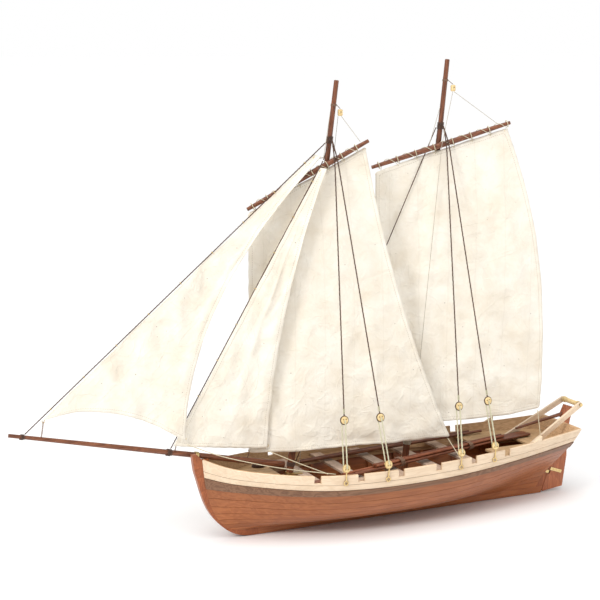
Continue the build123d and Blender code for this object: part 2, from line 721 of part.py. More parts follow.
def shroud_set():
    """Return shrouds, deadeyes, lanyards and chainplates of both sides."""
    nodes = {"shrouds": [], "upper_deadeyes": [], "lower_deadeyes": [], "lanyards": [],
             "chainplates": []}
    for (mast, _, _), (top, upper, lower, eye) in zip(SHROUD_FEET, shroud_lines()):
        up = (top - lower).normalized()
        across = up.cross(Vector(1, 0, 0)).normalized()
        along = across.cross(up)
        rim = DEADEYE_DIAMETER / 2
        heel = upper + up * (rim + 0.1)
        yard = FORE_YARD if mast is FORE else MAIN_YARD
        bent = tube([heel, knee(yard, heel, top), top], SHROUD)
        upper_eye = deadeye(upper, up, (180, 60, 300))
        lower_eye = deadeye(lower, up, (0, 120, 240))
        nodes["shrouds"] += [bent, mirrored(rod(heel, top, SHROUD / 2))]
        nodes["upper_deadeyes"] += [upper_eye, mirrored(upper_eye)]
        nodes["lower_deadeyes"] += [lower_eye, mirrored(lower_eye)]
        for i in (-1, 0, 1):
            side = across * (DEADEYE_THICKNESS / 2 + LANYARD / 2 + 0.05) * (1 if i else -1)
            shift = along * (i * 1.3)
            strand = rod(lower + shift + side, upper + shift + side, LANYARD / 2)
            nodes["lanyards"] += [strand, mirrored(strand)]
        out = Vector(0, -1, 0)
        ring_centre = eye + out * 0.45
        ring = Solid.make_torus(1.35, 0.4, Plane(origin=ring_centre, z_dir=out))
        foot = lower - up * (rim + 0.1)
        link = rod(ring_centre + Vector(0, 0, 1.35), foot, 0.45)
        chain = (ring + link).solid()
        nodes["chainplates"] += [chain, mirrored(chain)]
    return nodes


def collars():
    """Return the rope collars that the shrouds and stays are made fast to."""
    return [FORE.wrap(FORE_COLLAR, 5.0, 0.9), MAIN.wrap(MAIN_COLLAR, 5.0, 0.9),
            bowsprit_wrap(OUTER_COLLAR_REACH, 2.4, 0.7),
            bowsprit_wrap(INNER_COLLAR_REACH, 3.0, 0.8)]


def short_rod(start, end, radius, from_start, from_end):
    """Return a rod that stops this far short of each end."""
    start, end = Vector(*start), Vector(*end)
    step = (end - start).normalized()
    return rod(start + step * from_start, end - step * from_end, radius)


def stays():
    outer = short_rod(*OUTER_STAY, STAY / 2, on_bowsprit(OUTER_COLLAR_REACH)[1] + 1.1,
                      0.0)
    inner = short_rod(*INNER_STAY, STAY / 2, on_bowsprit(INNER_COLLAR_REACH)[1] + 1.0, 0.0)
    hanger = short_rod(INNER_STAY[1], FORE.at(FORE_COLLAR - 1), STAY / 2, 1.1,
                       FORE.radius(FORE_COLLAR) + 2.0)
    return {"jib_stays": [outer, inner, hanger]}


MAIN_STAY_FOOT = 45.0


def main_stay():
    top = Vector(*MAIN.at(MAIN_COLLAR - 1)) + Vector(-MAIN.radius(MAIN_COLLAR) - 1.2, 0.5, 0)
    foot = Vector(*FORE.at(MAIN_STAY_FOOT)) + Vector(MAST_DIAMETER / 2 + 0.8, 0.5, 0)
    return [rod(top, foot, STAY / 2), FORE.wrap(MAIN_STAY_FOOT, 3.0, 0.7)]


def hanks():
    """Return the wire rings that ride on the jib stays."""
    rings = []
    for stay, shares in ((OUTER_STAY, np.linspace(0.09, 0.92, 9)),
                         (INNER_STAY, np.linspace(0.07, 0.93, 8))):
        along = Vector(*stay[1]) - Vector(*stay[0])
        for share in shares:
            plane = Plane(origin=on_stay(stay, share), z_dir=along)
            rings.append(Solid.make_torus(STAY / 2 + HANK_WIRE / 2 + 0.15, HANK_WIRE / 2, plane))
    return rings


# ---- running rigging ----------------------------------------------------------------
BLOCK_SIZE = (3.2, 2.6, 4.4)


def block(centre):
    body = fillet(Box(*BLOCK_SIZE).edges(), 0.9)
    sheave_hole = Pos(0, 0, 0.4) * Rot(90, 0, 0) * Cylinder(0.45, 6)
    return (Pos(*centre) * (body - sheave_hole)).solid()


FORE_BLOCK = (FORE.at(FORE_STROP)[0] + 4.6, -0.5, FORE_STROP - 5.0)
MAIN_BLOCK = (MAIN.at(MAIN_STROP)[0] + 6.0, -0.5, MAIN_STROP - 5.3)


def strops():
    """Return the rope strops that hang the blocks on the masts."""
    bands = []
    for mast, height, centre in ((FORE, FORE_STROP, FORE_BLOCK), (MAIN, MAIN_STROP, MAIN_BLOCK)):
        bands.append(mast.wrap(height, 1.6, 0.6))
        start = Vector(*mast.at(height)) + Vector(mast.radius(height) + 0.7, 0, 0)
        end = Vector(*centre) + Vector(0, 0, BLOCK_SIZE[2] / 2 + 0.3)
        bands.append(rod(start, end, 0.45))
    return bands


def halyards():
    """Return the lines from the blocks and mastheads to the yards and the deck."""
    radius = LINE / 2
    half = BLOCK_SIZE[2] / 2 + 0.3
    lines = []
    for yard, centre, reach in ((FORE_YARD, FORE_BLOCK, 21.0), (MAIN_YARD, MAIN_BLOCK, 39.0)):
        below = Vector(*centre) + Vector(1.0, 0, -half)
        lines.append(short_rod(below, yard.at(reach), radius, 0.0, YARD_DIAMETER / 2 + 0.3))
    for mast, yard, height, reach in ((MAIN, MAIN_YARD, 281.0, -9.3),):
        start = Vector(*mast.at(height)) + Vector(-mast.radius(height) - 0.4, -0.5, 0)
        lines.append(short_rod(start, yard.at(reach), radius, 0.0, YARD_DIAMETER / 2 + 0.3))
    start = Vector(*FORE.at(279.0)) + Vector(-FORE.radius(279) - 0.4, -0.5, 0)
    lines.append(short_rod(start, INNER_STAY[1], radius, 0.0, 1.6))
    fall_top = Vector(*FORE_BLOCK) + Vector(-0.8, 1.5, -half)
    lines.append(rod(fall_top, Vector(*FORE.at(THWART_TOP)) + Vector(9.0, 5.0, 0.3), radius))
    yard_side = Vector(*MAIN_YARD.at(-1.5)) + Vector(0, -YARD_DIAMETER / 2 - 0.9, 0)
    foot = Vector(*MAIN.at(50.0)) + Vector(1.5, -MAIN.radius(50) - 1.6, 0)
    lines.append(rod(Vector(*MAIN_BLOCK) + Vector(-0.8, -1.0, -half), yard_side, radius))
    lines.append(rod(yard_side, foot, radius))
    return lines


def belays():
    """Return the turns of line that make the main halyard fast to its mast."""
    return [MAIN.wrap(50.0, 3.0, 0.7)]


def robands():
    """Return the ties that lace the sails' heads to the yards."""
    ties = []
    for yard, reaches in ((FORE_YARD, np.linspace(-50, 17, 8)), (MAIN_YARD, np.linspace(-42, 43.5, 8))):
        start, end = Vector(*yard.at(yard.ends[0])), Vector(*yard.at(yard.ends[1]))
        for reach in reaches:
            plane = Plane(origin=yard.at(reach), z_dir=end - start)
            ties.append(Solid.make_torus(YARD_DIAMETER / 2 + 0.45, 0.25, plane))
    return ties


def sheets():
    """Return the four ropes from the sails' lower corners into the boat."""
    outer = tube([(OUTER_CLEW[0] + 1.5, OUTER_CLEW[1], OUTER_CLEW[2] - 2.0), (-130.0 * STRETCH, -8.0, 58.5),
                  (-97.0 * STRETCH, -23.0, 50.5), (-61.0 * STRETCH, -38.3, 46.0)], SHEET)
    inner = tube([(INNER_CLEW[0] + 0.5, INNER_CLEW[1], INNER_CLEW[2] - 1.6), (-80.0 * STRETCH, -15.0, 50.8),
                  (-66.0 * STRETCH, -37.5, 46.5)], SHEET)
    fore_clew = (FORE.at(55)[0] + 114.0, -10.8, 52.5)
    fore = rod(fore_clew, (34.0 * STRETCH, -38.5, 45.0), SHEET / 2)
    main_clew = (MAIN.at(66)[0] + 100.0, -9.3, 64.4)
    main = rod(main_clew, (112.0 * STRETCH, -19.5, BENCH_TOP + 0.1), SHEET / 2)
    return [outer, inner, fore, main]


# ---- gear in the boat ---------------------------------------------------------------
def oar(start, end, blade_first):
    """Return an oar, its blade at the start or the end of its line."""
    start, end = Vector(*start), Vector(*end)
    if blade_first:
        start, end = end, start
    along = (end - start).normalized()
    neck = end - along * BLADE_LENGTH
    shaft = rod(start, neck + along * 3, OAR_DIAMETER / 2, OAR_DIAMETER * 0.36)
    plane = Plane(origin=neck + along * BLADE_LENGTH / 2, x_dir=along, z_dir=(0, 0, 1))
    blade = Box(BLADE_LENGTH, BLADE_WIDTH, BLADE_THICKNESS)
    blade = fillet(blade.edges().filter_by(Axis.Z), 1.6)
    return (shaft + blade.moved(plane.location)).solid()


BUNDLE_START = Vector(-73.0 * STRETCH, -29.5, THWART_TOP + OAR_DIAMETER / 2 + 0.1)
BUNDLE_END = Vector(118.0 * STRETCH, 8.5, BENCH_TOP + OAR_DIAMETER / 2 + 0.7)
BUNDLE_ALONG = (BUNDLE_END - BUNDLE_START).normalized()
BUNDLE_SIDE = BUNDLE_ALONG.cross(Vector(0, 0, 1)).normalized() * -1


def in_bundle(along, side, up):
    return BUNDLE_START + BUNDLE_ALONG * along + BUNDLE_SIDE * side + Vector(0, 0, up)


def oars():
    """Return the lashed oars and boathook shafts on the port side."""
    reach = (BUNDLE_END - BUNDLE_START).length
    side = OAR_DIAMETER + 0.4
    up = 0.9 * OAR_DIAMETER + 0.1
    gear = [oar(in_bundle(0, 0, 0), in_bundle(OAR_LENGTH, 0, 0), True)]
    for y in (-side, side):
        gear.append(oar(in_bundle(reach - OAR_LENGTH, y, 0.2), in_bundle(reach, y, 0.2), False))
    for y in (-side / 2, side / 2):
        gear.append(rod(in_bundle(52, y, up), in_bundle(170, y, up), OAR_DIAMETER / 2))
    return gear


def spare_spars():
    start = Vector(-62.0 * STRETCH, 19.5, THWART_TOP + 1.45)
    end = Vector(90.0 * STRETCH, 26.0, BENCH_TOP + 2.0)
    return [spar(start + Vector(4 * i, 3.2 * i, 0), end + Vector(-9 * i, 3.2 * i, 0), 1.3, 0.95)
            for i in (0, 1)]


def oar_lashings():
    """Return the bands that tie the bundle of oars together."""
    width = 2 * (OAR_DIAMETER + 0.4) + OAR_DIAMETER + 0.3
    height = 1.9 * OAR_DIAMETER + 0.4
    middle = 0.45 * OAR_DIAMETER + 0.05
    bands = []
    for along in (74.0, 137.0):
        plane = Plane(origin=in_bundle(along, 0, middle), x_dir=BUNDLE_SIDE, z_dir=BUNDLE_ALONG)
        ring = RectangleRounded(width + 1.6, height + 1.2, 1.8) - RectangleRounded(width, height, 1.3)
        bands.append(extrude(plane * ring, 1.5, both=True).solid())
    return bands


def rope_coils():
    """Return the two coils of dark rope on the bow platform."""
    coils = []
    for x, y, size in ((-113.0, 8.0, 4.2), (-90.0, 22.0, 3.8)):
        coil = Pos(x * STRETCH, y, PLATFORM_TOP + 1.55) * Torus(size, 1.5)
        coils.append(coil.solid())
    return coils


# ---- rudder, tiller and hinges ------------------------------------------------------
HINGE_DIRECTION = Vector(HINGE_RAKE, 0, 1).normalized()
HINGE_FOOT_X = STERNPOST_FOOT + (RUDDER_THICKNESS / 2 + RUDDER_GAP) * math.hypot(1, HINGE_RAKE)
HINGE = Plane(origin=(HINGE_FOOT_X, 0, 0), x_dir=(1, 0, -HINGE_RAKE), z_dir=HINGE_DIRECTION)
HINGE_STATIONS = (15.5, 35.0)     # gudgeons' middles, along the pintle line
GUDGEON_HEIGHT = 2.0
GUDGEON_EYE = 1.15                # its outer radius
HEAD_LOW, HEAD_HIGH = 56.2, 66.0
TILLER_TIP = (103.0, 50.0)


def in_hinge(solid):
    """Place a solid that was drawn round the pintle line."""
    return solid.moved(HINGE.location)


def hinge_plate(points, thickness):
    """Return a plate whose outline is drawn as aft, up points from the pintle line."""
    return extrude(Plane.XZ * make_face(Polyline(*points, close=True).edges()),
                   thickness / 2, both=True).solid()


def tiller():
    """Return the tiller, its after end in the rudder's head."""
    head = HINGE * Pos(0, 0, 61.5)
    start = (head.position.X + 1.5, 0, head.position.Z - 0.4)
    return rod(start, (TILLER_TIP[0] * STRETCH, 0, TILLER_TIP[1] + RAIL_HEIGHT - 45.5), 1.45, 0.85)


def rudder():
    blade = hinge_plate([(0, 0.6), (15.3, 8.1), (10.8, 30.9), (7.2, 40.5), (5.2, 48.0),
                         (4.0, HEAD_LOW + 1), (0, HEAD_LOW + 1)], RUDDER_THICKNESS)
    edge = Pos(0, 0, (HEAD_LOW + 1.6) / 2) * Cylinder(RUDDER_THICKNESS / 2, HEAD_LOW + 0.4)
    head = hinge_plate([(-4.4, HEAD_LOW), (3.4, HEAD_LOW), (3.4, HEAD_HIGH), (-3.4, HEAD_HIGH)], 4.2)
    body = blade + edge + head
    for station in HINGE_STATIONS:
        body -= Pos(-1, 0, station) * Box(2 * GUDGEON_EYE + 2.4, 6, GUDGEON_HEIGHT + 0.7)
        body -= Pos(0, 0, station + 1.5) * Cylinder(PINTLE_DIAMETER / 2, 6)
    return (in_hinge(body.solid()) - tiller()).solid()


def pintles():
    pins = []
    for station in HINGE_STATIONS:
        pins.append(in_hinge((Pos(0, 0, station + 1.5) * Cylinder(PINTLE_DIAMETER / 2, 6)).solid()))
    return pins


def rudder_straps():
    """Return the brass straps on the rudder's sides, each with its rivets."""
    straps = []
    for station in HINGE_STATIONS:
        low = station + GUDGEON_HEIGHT / 2 + 0.5
        length = 10.0 if station < 20 else 7.0
        for side in (-1, 1):
            y = side * (RUDDER_THICKNESS / 2 + STRAP_THICKNESS / 2)
            strap = Pos(0.6 + length / 2, y, low + 1.1) * Box(length, STRAP_THICKNESS, 2.2)
            for share in (0.25, 0.55, 0.85):
                rivet = Pos(0.6 + length * share, y + side * 0.2, low + 1.1) * Sphere(0.4)
                strap += rivet - Pos(0, side * (RUDDER_THICKNESS / 2 - 5), low) * Box(40, 10, 10)
            straps.append(in_hinge(strap.solid()))
    return straps


def gudgeons(transom):
    """Return the brass straps on the sternpost, each with the eye that a pintle turns in."""
    fittings = []
    back = -(RUDDER_THICKNESS / 2 + RUDDER_GAP)
    half = KEEL_WIDTH / 2
    for station in HINGE_STATIONS:
        length = 6.0 if station < 20 else 1.2
        body = Pos(back + 0.2, 0, station) * Box(0.4, KEEL_WIDTH, GUDGEON_HEIGHT)
        body += Pos(back / 2 + 0.1, 0, station) * Box(-back - 0.2, 1.4, GUDGEON_HEIGHT)
        body += Pos(0, 0, station) * Cylinder(GUDGEON_EYE, GUDGEON_HEIGHT)
        for side in (-1, 1):
            y = side * (half + STRAP_THICKNESS / 2)
            arm = Pos(back + 0.4 - (length + 0.4) / 2, y, station) * Box(
                length + 0.4, STRAP_THICKNESS, GUDGEON_HEIGHT)
            body += arm
        body -= Pos(0, 0, station) * Cylinder(PINTLE_DIAMETER / 2 + BORE_CLEARANCE, 10)
        fittings.append((in_hinge(body.solid()) - transom).solid())
    return fittings


# ---- stern davit --------------------------------------------------------------------
ARM_TIP = (150.5 * STRETCH, 10.5, RAIL_HEIGHT + 19.5)
ARM_FOOT_X = 103.0
ARM_SPLAY = 0.115        # how far an arm spreads outboard, per millimetre forward
ARM_SLOPE = 0.545


def arm_foot():
    back = ARM_TIP[0] - ARM_FOOT_X * STRETCH
    return (ARM_FOOT_X * STRETCH, ARM_TIP[1] + ARM_SPLAY * back, ARM_TIP[2] - ARM_SLOPE * back)


def davit_arms():
    arm = bar(arm_foot(), ARM_TIP, ARM_DEPTH, ARM_THICKNESS)
    nose = Pos(*ARM_TIP) * Rot(90, 0, 0) * Cylinder(ARM_DEPTH / 2, ARM_THICKNESS)
    arm = arm + nose
    arm -= Pos(ARM_TIP[0] - 40, ARM_TIP[1], BENCH_TOP - 10) * Box(80, 40, 20)
    arm -= Pos(*ARM_TIP) * Rot(90, 0, 0) * Cylinder(AXLE_DIAMETER / 2, 30)
    arm = arm.solid()
    return [arm, mirrored(arm)]


def davit_pin():
    x, y, z = ARM_TIP
    outer = y + ARM_THICKNESS / 2 + 0.4
    pin = Pos(x, 0, z) * Rot(90, 0, 0) * Cylinder(AXLE_DIAMETER / 2, 2 * outer)
    for side in (-1, 1):
        pin += Pos(x, side * (outer + 0.35), z) * Rot(90, 0, 0) * Cylinder(1.2, 0.7)
    return pin.solid()


def davit_roller():
    x, y, z = ARM_TIP
    length = 2 * (y - ARM_THICKNESS / 2 - ARM_SPLAY * ARM_DEPTH / 2 - SIDE_PLAY)
    radius = ROLLER_DIAMETER / 2
    half = length / 2
    profile = Polyline((AXLE_DIAMETER / 2 + BORE_CLEARANCE, -half), (radius + 0.5, -half),
                       (radius + 0.5, -half + 1.6), (radius, -half + 2.4), (radius, half - 2.4),
                       (radius + 0.5, half - 1.6), (radius + 0.5, half),
                       (AXLE_DIAMETER / 2 + BORE_CLEARANCE, half), close=True)
    turned = revolve(Plane.XZ * make_face(profile.edges()), Axis.Z)
    return (Pos(x, 0, z) * Rot(90, 0, 0) * turned).solid()


def davit_chocks():
    """Return the wedges on the rails ahead of the arms."""
    chocks = []
    start, end = rail_at(97.0 * STRETCH), rail_at(103.5 * STRETCH)
    inward = rail_at(100.0 * STRETCH, PLANK + LINING) - rail_at(100.0 * STRETCH)
    a, b = Vector(*start), Vector(*end)
    face = make_face(Polyline(a, b, b + Vector(0, 0, 3.4), close=True).edges())
    wedge = extrude(face, PLANK + LINING, dir=Vector(*inward).normalized()).solid()
    chocks += [wedge, mirrored(wedge)]
    return chocks


# ---- write --------------------------------------------------------------------------
def nodes():
    """Return every node's name and its solids."""
    made = {name: [solid] for name, solid in backbone().items()}
    stem = made["stem"][0]
    made.update(planking(bowsprit_rod(0.15)))
    transom = (transom_slab(TRANSOM_THICKNESS, 0) & interior(PLANK)) - Pos(
        TRANSOM_TOP_X, 0, TRANSOM_BOTTOM - 20) * Box(80, 60, 40)
    for side in ("port", "starboard"):
        name = "bulwark_lining_" + side
        made[name] = [(made[name][0] - transom_slab(TRANSOM_THICKNESS, -5)).solid()]
    masts = [FORE.solid(), MAIN.solid()]
    mast_ways = [rod(m.at(m.foot - 3), m.at(60), m.radius(m.foot) + 0.15) for m in (FORE, MAIN)]
    made["transom"] = [transom.solid()]
    made["frames"] = frames()
    made["floorboards"] = boards((-92 * STRETCH, 84 * STRETCH), FLOOR_HEIGHT, FLOORBOARD_THICKNESS,
                                 FLOORBOARD_WIDTH, FLOORBOARD_GAP, FRAMED, mast_ways)
    made["thwart_risers"] = risers()
    made["thwarts"] = thwarts()
    made["stern_benches"] = stern_benches()
    made["bow_platform"] = boards((PLATFORM_FRONT * STRETCH, PLATFORM_AFT * STRETCH), PLATFORM_TOP,
                                  1.2, 5.4, 0.4, LINED, [stem])
    made["mast_steps"] = mast_steps()
    made["mast_clamps"] = mast_clamps()
    made["foremast"] = [masts[0]]
    made["mainmast"] = [masts[1]]
    made["bowsprit"] = [bowsprit_rod()]
    made["bowsprit_band"] = [(bowsprit_wrap(62.8, 2.4, 0.5) - stem).solid()]
    made["fore_yard"] = [FORE_YARD.solid()]
    made["main_yard"] = [MAIN_YARD.solid()]
    made["robands"] = robands()
    made["foresail"] = [foresail()]
    made["mainsail"] = [mainsail()]
    made["outer_jib"] = [outer_jib()]
    made["inner_jib"] = [inner_jib()]
    made.update(stays())
    made["jib_hanks"] = hanks()
    made["main_stay"] = main_stay()
    made["rope_collars"] = collars()
    made.update(shroud_set())
    made["halyard_blocks"] = [block(FORE_BLOCK), block(MAIN_BLOCK)]
    made["block_strops"] = strops()
    made["halyards"] = halyards()
    made["belaying_turns"] = belays()
    made["sheets"] = sheets()
    made["oars"] = oars()
    made["spare_spars"] = spare_spars()
    made["oar_lashings"] = oar_lashings()
    made["rope_coils"] = rope_coils()
    made["rudder"] = [rudder()]
    made["tiller"] = [tiller()]
    made["rudder_pintles"] = pintles()
    made["rudder_straps"] = rudder_straps()
    made["gudgeons"] = gudgeons(transom.solid())
    made["davit_arms"] = davit_arms()
    made["davit_pin"] = [davit_pin()]
    made["davit_roller"] = [davit_roller()]
    made["davit_chocks"] = davit_chocks()
    return made


os.makedirs("parts", exist_ok=True)
for node, solids in nodes().items():
    flat = [piece for solid in solids for piece in solid.solids()]
    export_step(flat[0] if len(flat) == 1 else Compound(children=flat), f"parts/{node}.step")
    print(f"{node}: {len(flat)} solids")
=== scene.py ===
# %% [markdown]
# # A two-masted wooden launch, rigged and standing on its keel
#
# The hard parts of this model (planks, spars, fittings) arrive as finished CAD meshes.
# This script gives each of them a believable surface, and makes again what CAD only
# blocks out: the cotton sails, the laid ropes, the lashings and the coils.
#
# Everything is in metres: +X aft, +Y starboard, +Z up.

# %% Load the parts
import math
import random

import bmesh
import bpy
import numpy as np
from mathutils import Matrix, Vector, noise
from mathutils.bvhtree import BVHTree


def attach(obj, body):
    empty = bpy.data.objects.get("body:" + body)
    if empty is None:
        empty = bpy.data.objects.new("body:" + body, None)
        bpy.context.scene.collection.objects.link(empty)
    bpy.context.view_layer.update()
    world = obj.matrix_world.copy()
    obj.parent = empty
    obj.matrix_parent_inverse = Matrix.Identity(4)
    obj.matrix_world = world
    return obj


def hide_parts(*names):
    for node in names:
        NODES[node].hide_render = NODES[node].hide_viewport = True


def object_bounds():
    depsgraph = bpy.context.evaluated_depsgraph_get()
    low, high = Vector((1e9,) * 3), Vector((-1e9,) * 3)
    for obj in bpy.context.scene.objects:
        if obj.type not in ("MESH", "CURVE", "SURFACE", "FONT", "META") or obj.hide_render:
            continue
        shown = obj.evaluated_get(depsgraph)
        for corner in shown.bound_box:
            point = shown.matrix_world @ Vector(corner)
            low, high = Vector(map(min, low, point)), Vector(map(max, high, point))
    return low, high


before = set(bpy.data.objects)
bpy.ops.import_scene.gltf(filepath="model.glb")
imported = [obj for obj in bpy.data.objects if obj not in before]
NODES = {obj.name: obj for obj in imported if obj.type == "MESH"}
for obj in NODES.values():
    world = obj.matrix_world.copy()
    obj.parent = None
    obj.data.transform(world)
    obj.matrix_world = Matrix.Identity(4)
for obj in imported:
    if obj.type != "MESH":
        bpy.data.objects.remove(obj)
cad_low, cad_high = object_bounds()
MM = 0.001
print("parts:", len(NODES), "box:", [round(v, 4) for v in (*cad_low, *cad_high)])

# %% [markdown]
# ## The camera
#
# A long lens from a little above the rail keeps the masts upright and the hull's curve
# readable.  The camera is level, so nothing leans.  A shorter lens close by would make the
# bow look huge.

# %% Camera
camera_data = bpy.data.cameras.new("camera")
camera_data.lens = 89.14
camera_data.sensor_width = 36.0
camera_data.clip_start = 0.01
camera = bpy.data.objects.new("camera", camera_data)
camera.location = (-0.47812, -0.87832, 0.31956)
camera.rotation_euler = (math.radians(80.426), 0.0, math.radians(-24.985))
bpy.context.scene.collection.objects.link(camera)
bpy.context.scene.camera = camera
print("camera lens", camera_data.lens, "mm, from", [round(v, 3) for v in camera.location])

# %% [markdown]
# ## Light and floor
#
# Small models are best seen under large soft lamps, on a pale ground with no edge in sight.
# A broad key lamp stands off the port bow, a weaker fill stands aft, and a very soft sun
# straight above keeps the floor white to the horizon.  The world is plain and pale: it lights
# the shadows gently but looks white to the camera, so floor and background meet unseen.

# %% Lamps, world and floor
def area_lamp(name, place, target, size, watts, colour=(1, 1, 1)):
    data = bpy.data.lights.new(name, "AREA")
    data.shape = "SQUARE"
    data.size = size
    data.energy = watts
    data.color = colour
    lamp = bpy.data.objects.new(name, data)
    lamp.location = place
    lamp.rotation_euler = (Vector(target) - Vector(place)).to_track_quat("-Z", "Y").to_euler()
    bpy.context.scene.collection.objects.link(lamp)
    return lamp


middle = (cad_low + cad_high) / 2
area_lamp("key", (-1.15, -0.50, 0.80), middle, 0.32, 8.0, (1.0, 0.98, 0.945))
area_lamp("fill", (0.95, -0.75, 0.45), middle, 0.9, 2.8, (0.99, 0.99, 1.0))
overhead = bpy.data.lights.new("overhead", "SUN")
overhead.energy = 2.1
overhead.angle = math.radians(70)
overhead_lamp = bpy.data.objects.new("overhead", overhead)
overhead_lamp.rotation_euler = (math.radians(12), math.radians(-10), 0)
bpy.context.scene.collection.objects.link(overhead_lamp)

world = bpy.data.worlds.new("studio")
world.use_nodes = True
sky = world.node_tree
rays = sky.nodes.new("ShaderNodeLightPath")
brightness = sky.nodes.new("ShaderNodeMapRange")
brightness.inputs["To Min"].default_value = 0.46
brightness.inputs["To Max"].default_value = 1.0
sky.links.new(rays.outputs["Is Camera Ray"], brightness.inputs[0])
sky.links.new(brightness.outputs[0], sky.nodes["Background"].inputs["Strength"])
sky.nodes["Background"].inputs["Color"].default_value = (1.0, 1.0, 1.0, 1.0)
bpy.context.scene.world = world
bpy.context.scene.view_settings.view_transform = "Standard"


def floor_sheet():
    data = bpy.data.meshes.new("floor")
    data.from_pydata([(-80, -80, 0), (80, -80, 0), (80, 80, 0), (-80, 80, 0)], [], [(0, 1, 2, 3)])
    sheet = bpy.data.objects.new("floor", data)
    sheet.location.z = cad_low.z - 0.0003
    bpy.context.scene.collection.objects.link(sheet)
    paint = bpy.data.materials.new("floor_paint")
    paint.use_nodes = True
    shader = paint.node_tree.nodes["Principled BSDF"]
    shader.inputs["Base Color"].default_value = (0.93, 0.93, 0.93, 1)
    shader.inputs["Roughness"].default_value = 0.9
    shader.inputs["Specular IOR Level"].default_value = 0.1
    data.materials.append(paint)
    return sheet


floor = floor_sheet()
print("floor at", round(floor.location.z / MM, 2), "mm, lamps:", len(bpy.data.lights))

# %% [markdown]
# ## Building materials from nodes
#
# Every finish here is a small node network.  Two helpers keep the networks readable: `add`
# makes a node and sets its values, and `join` links one socket to another.  An effect that
# several finishes need, such as wood grain, is a node group with named sockets, made once.

# %% Node helpers
def add(tree, kind, place=(0, 0), **values):
    """Add a node; values go to its properties, or to its inputs by name."""
    node = tree.nodes.new(kind)
    node.location = place
    for key, value in values.items():
        if hasattr(node, key):
            setattr(node, key, value)
        else:
            node.inputs[key.replace("_", " ")].default_value = value
    return node


def join(tree, source, output, target, socket):
    tree.links.new(source.outputs[output], target.inputs[socket])


def maths(tree, operation, a, b=None, clamp=False):
    """Add a Math node; a and b are numbers or (node, output) pairs."""
    node = tree.nodes.new("ShaderNodeMath")
    node.operation = operation
    node.use_clamp = clamp
    for index, value in enumerate((a, b)):
        if value is None:
            continue
        if isinstance(value, tuple):
            tree.links.new(value[0].outputs[value[1]], node.inputs[index])
        else:
            node.inputs[index].default_value = value
    return (node, 0)


def blend_colour(tree, factor, a, b, mode="MIX"):
    """Add a colour Mix node; a and b are colours or (node, output) pairs."""
    node = tree.nodes.new("ShaderNodeMix")
    node.data_type = "RGBA"
    node.blend_type = mode
    node.clamp_factor = True
    for socket, value in ((0, factor), (6, a), (7, b)):
        if isinstance(value, tuple) and isinstance(value[0], bpy.types.Node):
            tree.links.new(value[0].outputs[value[1]], node.inputs[socket])
        elif socket == 0:
            node.inputs[socket].default_value = value
        else:
            node.inputs[socket].default_value = (*value, 1.0)
    return (node, 2)


def new_group(name, inputs, outputs):
    """Make a shader node group; inputs are (name, kind, value), outputs (name, kind)."""
    group = bpy.data.node_groups.new(name, "ShaderNodeTree")
    for label, kind, value in inputs:
        socket = group.interface.new_socket(label, in_out="INPUT", socket_type=kind)
        socket.default_value = value
    for label, kind in outputs:
        group.interface.new_socket(label, in_out="OUTPUT", socket_type=kind)
    start = group.nodes.new("NodeGroupInput")
    end = group.nodes.new("NodeGroupOutput")
    start.location = (-900, 0)
    end.location = (700, 0)
    return group, start, end


# %% [markdown]
# ## Wood grain
#
# A plank shows three things: broad growth bands, fine fibres along its length, and short
# dark pores.  All three are noise that is stretched along the grain, so the group takes a
# `Stretch` vector: small along the grain, large across it.  Growth bands come from a slow
# noise run through a sine, which gives the cathedral shapes of flat-sawn timber.

# %% The grain group
FLOAT, VECTOR, COLOUR = "NodeSocketFloat", "NodeSocketVector", "NodeSocketColor"


def make_grain():
    group, start, end = new_group(
        "wood_grain",
        [("Stretch", VECTOR, (30.0, 300.0, 300.0)), ("Shift", FLOAT, 0.0), ("Bands", FLOAT, 9.0)],
        [("Figure", FLOAT), ("Fibre", FLOAT), ("Pores", FLOAT), ("Height", FLOAT)],
    )
    place = add(group, "ShaderNodeTexCoord", (-900, 300))
    scaled = add(group, "ShaderNodeVectorMath", (-700, 200), operation="MULTIPLY")
    join(group, place, "Object", scaled, 0)
    join(group, start, "Stretch", scaled, 1)
    moved = add(group, "ShaderNodeVectorMath", (-550, 200), operation="ADD")
    join(group, scaled, 0, moved, 0)
    join(group, start, "Shift", moved, 1)
    slow = add(group, "ShaderNodeTexNoise", (-350, 300), Scale=0.55, Detail=2.0, Distortion=0.6)
    fine = add(group, "ShaderNodeTexNoise", (-350, 0), Scale=4.5, Detail=5.0, Roughness=0.65)
    pore = add(group, "ShaderNodeTexNoise", (-350, -300), Scale=11.0, Detail=2.0, Roughness=0.5)
    for texture in (slow, fine, pore):
        join(group, moved, 0, texture, "Vector")
    wide = group.nodes.new("ShaderNodeMath")
    wide.operation = "MULTIPLY"
    join(group, slow, 0, wide, 0)
    join(group, start, "Bands", wide, 1)
    waves = maths(group, "SINE", maths(group, "MULTIPLY", (wide, 0), 6.283))
    figure = maths(group, "MULTIPLY_ADD", waves, 0.5)
    figure[0].inputs[2].default_value = 0.5
    dots = add(group, "ShaderNodeMapRange", (0, -300), From_Min=0.60, From_Max=0.72)
    join(group, pore, 0, dots, 0)
    height = maths(group, "SUBTRACT", (fine, 0), maths(group, "MULTIPLY", (dots, 0), 0.6))
    for source, label in ((figure, "Figure"), ((fine, 0), "Fibre"), ((dots, 0), "Pores"),
                          (height, "Height")):
        group.links.new(source[0].outputs[source[1]], end.inputs[label])
    return group


GRAIN = make_grain()
print("grain group sockets:", [item.name for item in GRAIN.interface.items_tree])
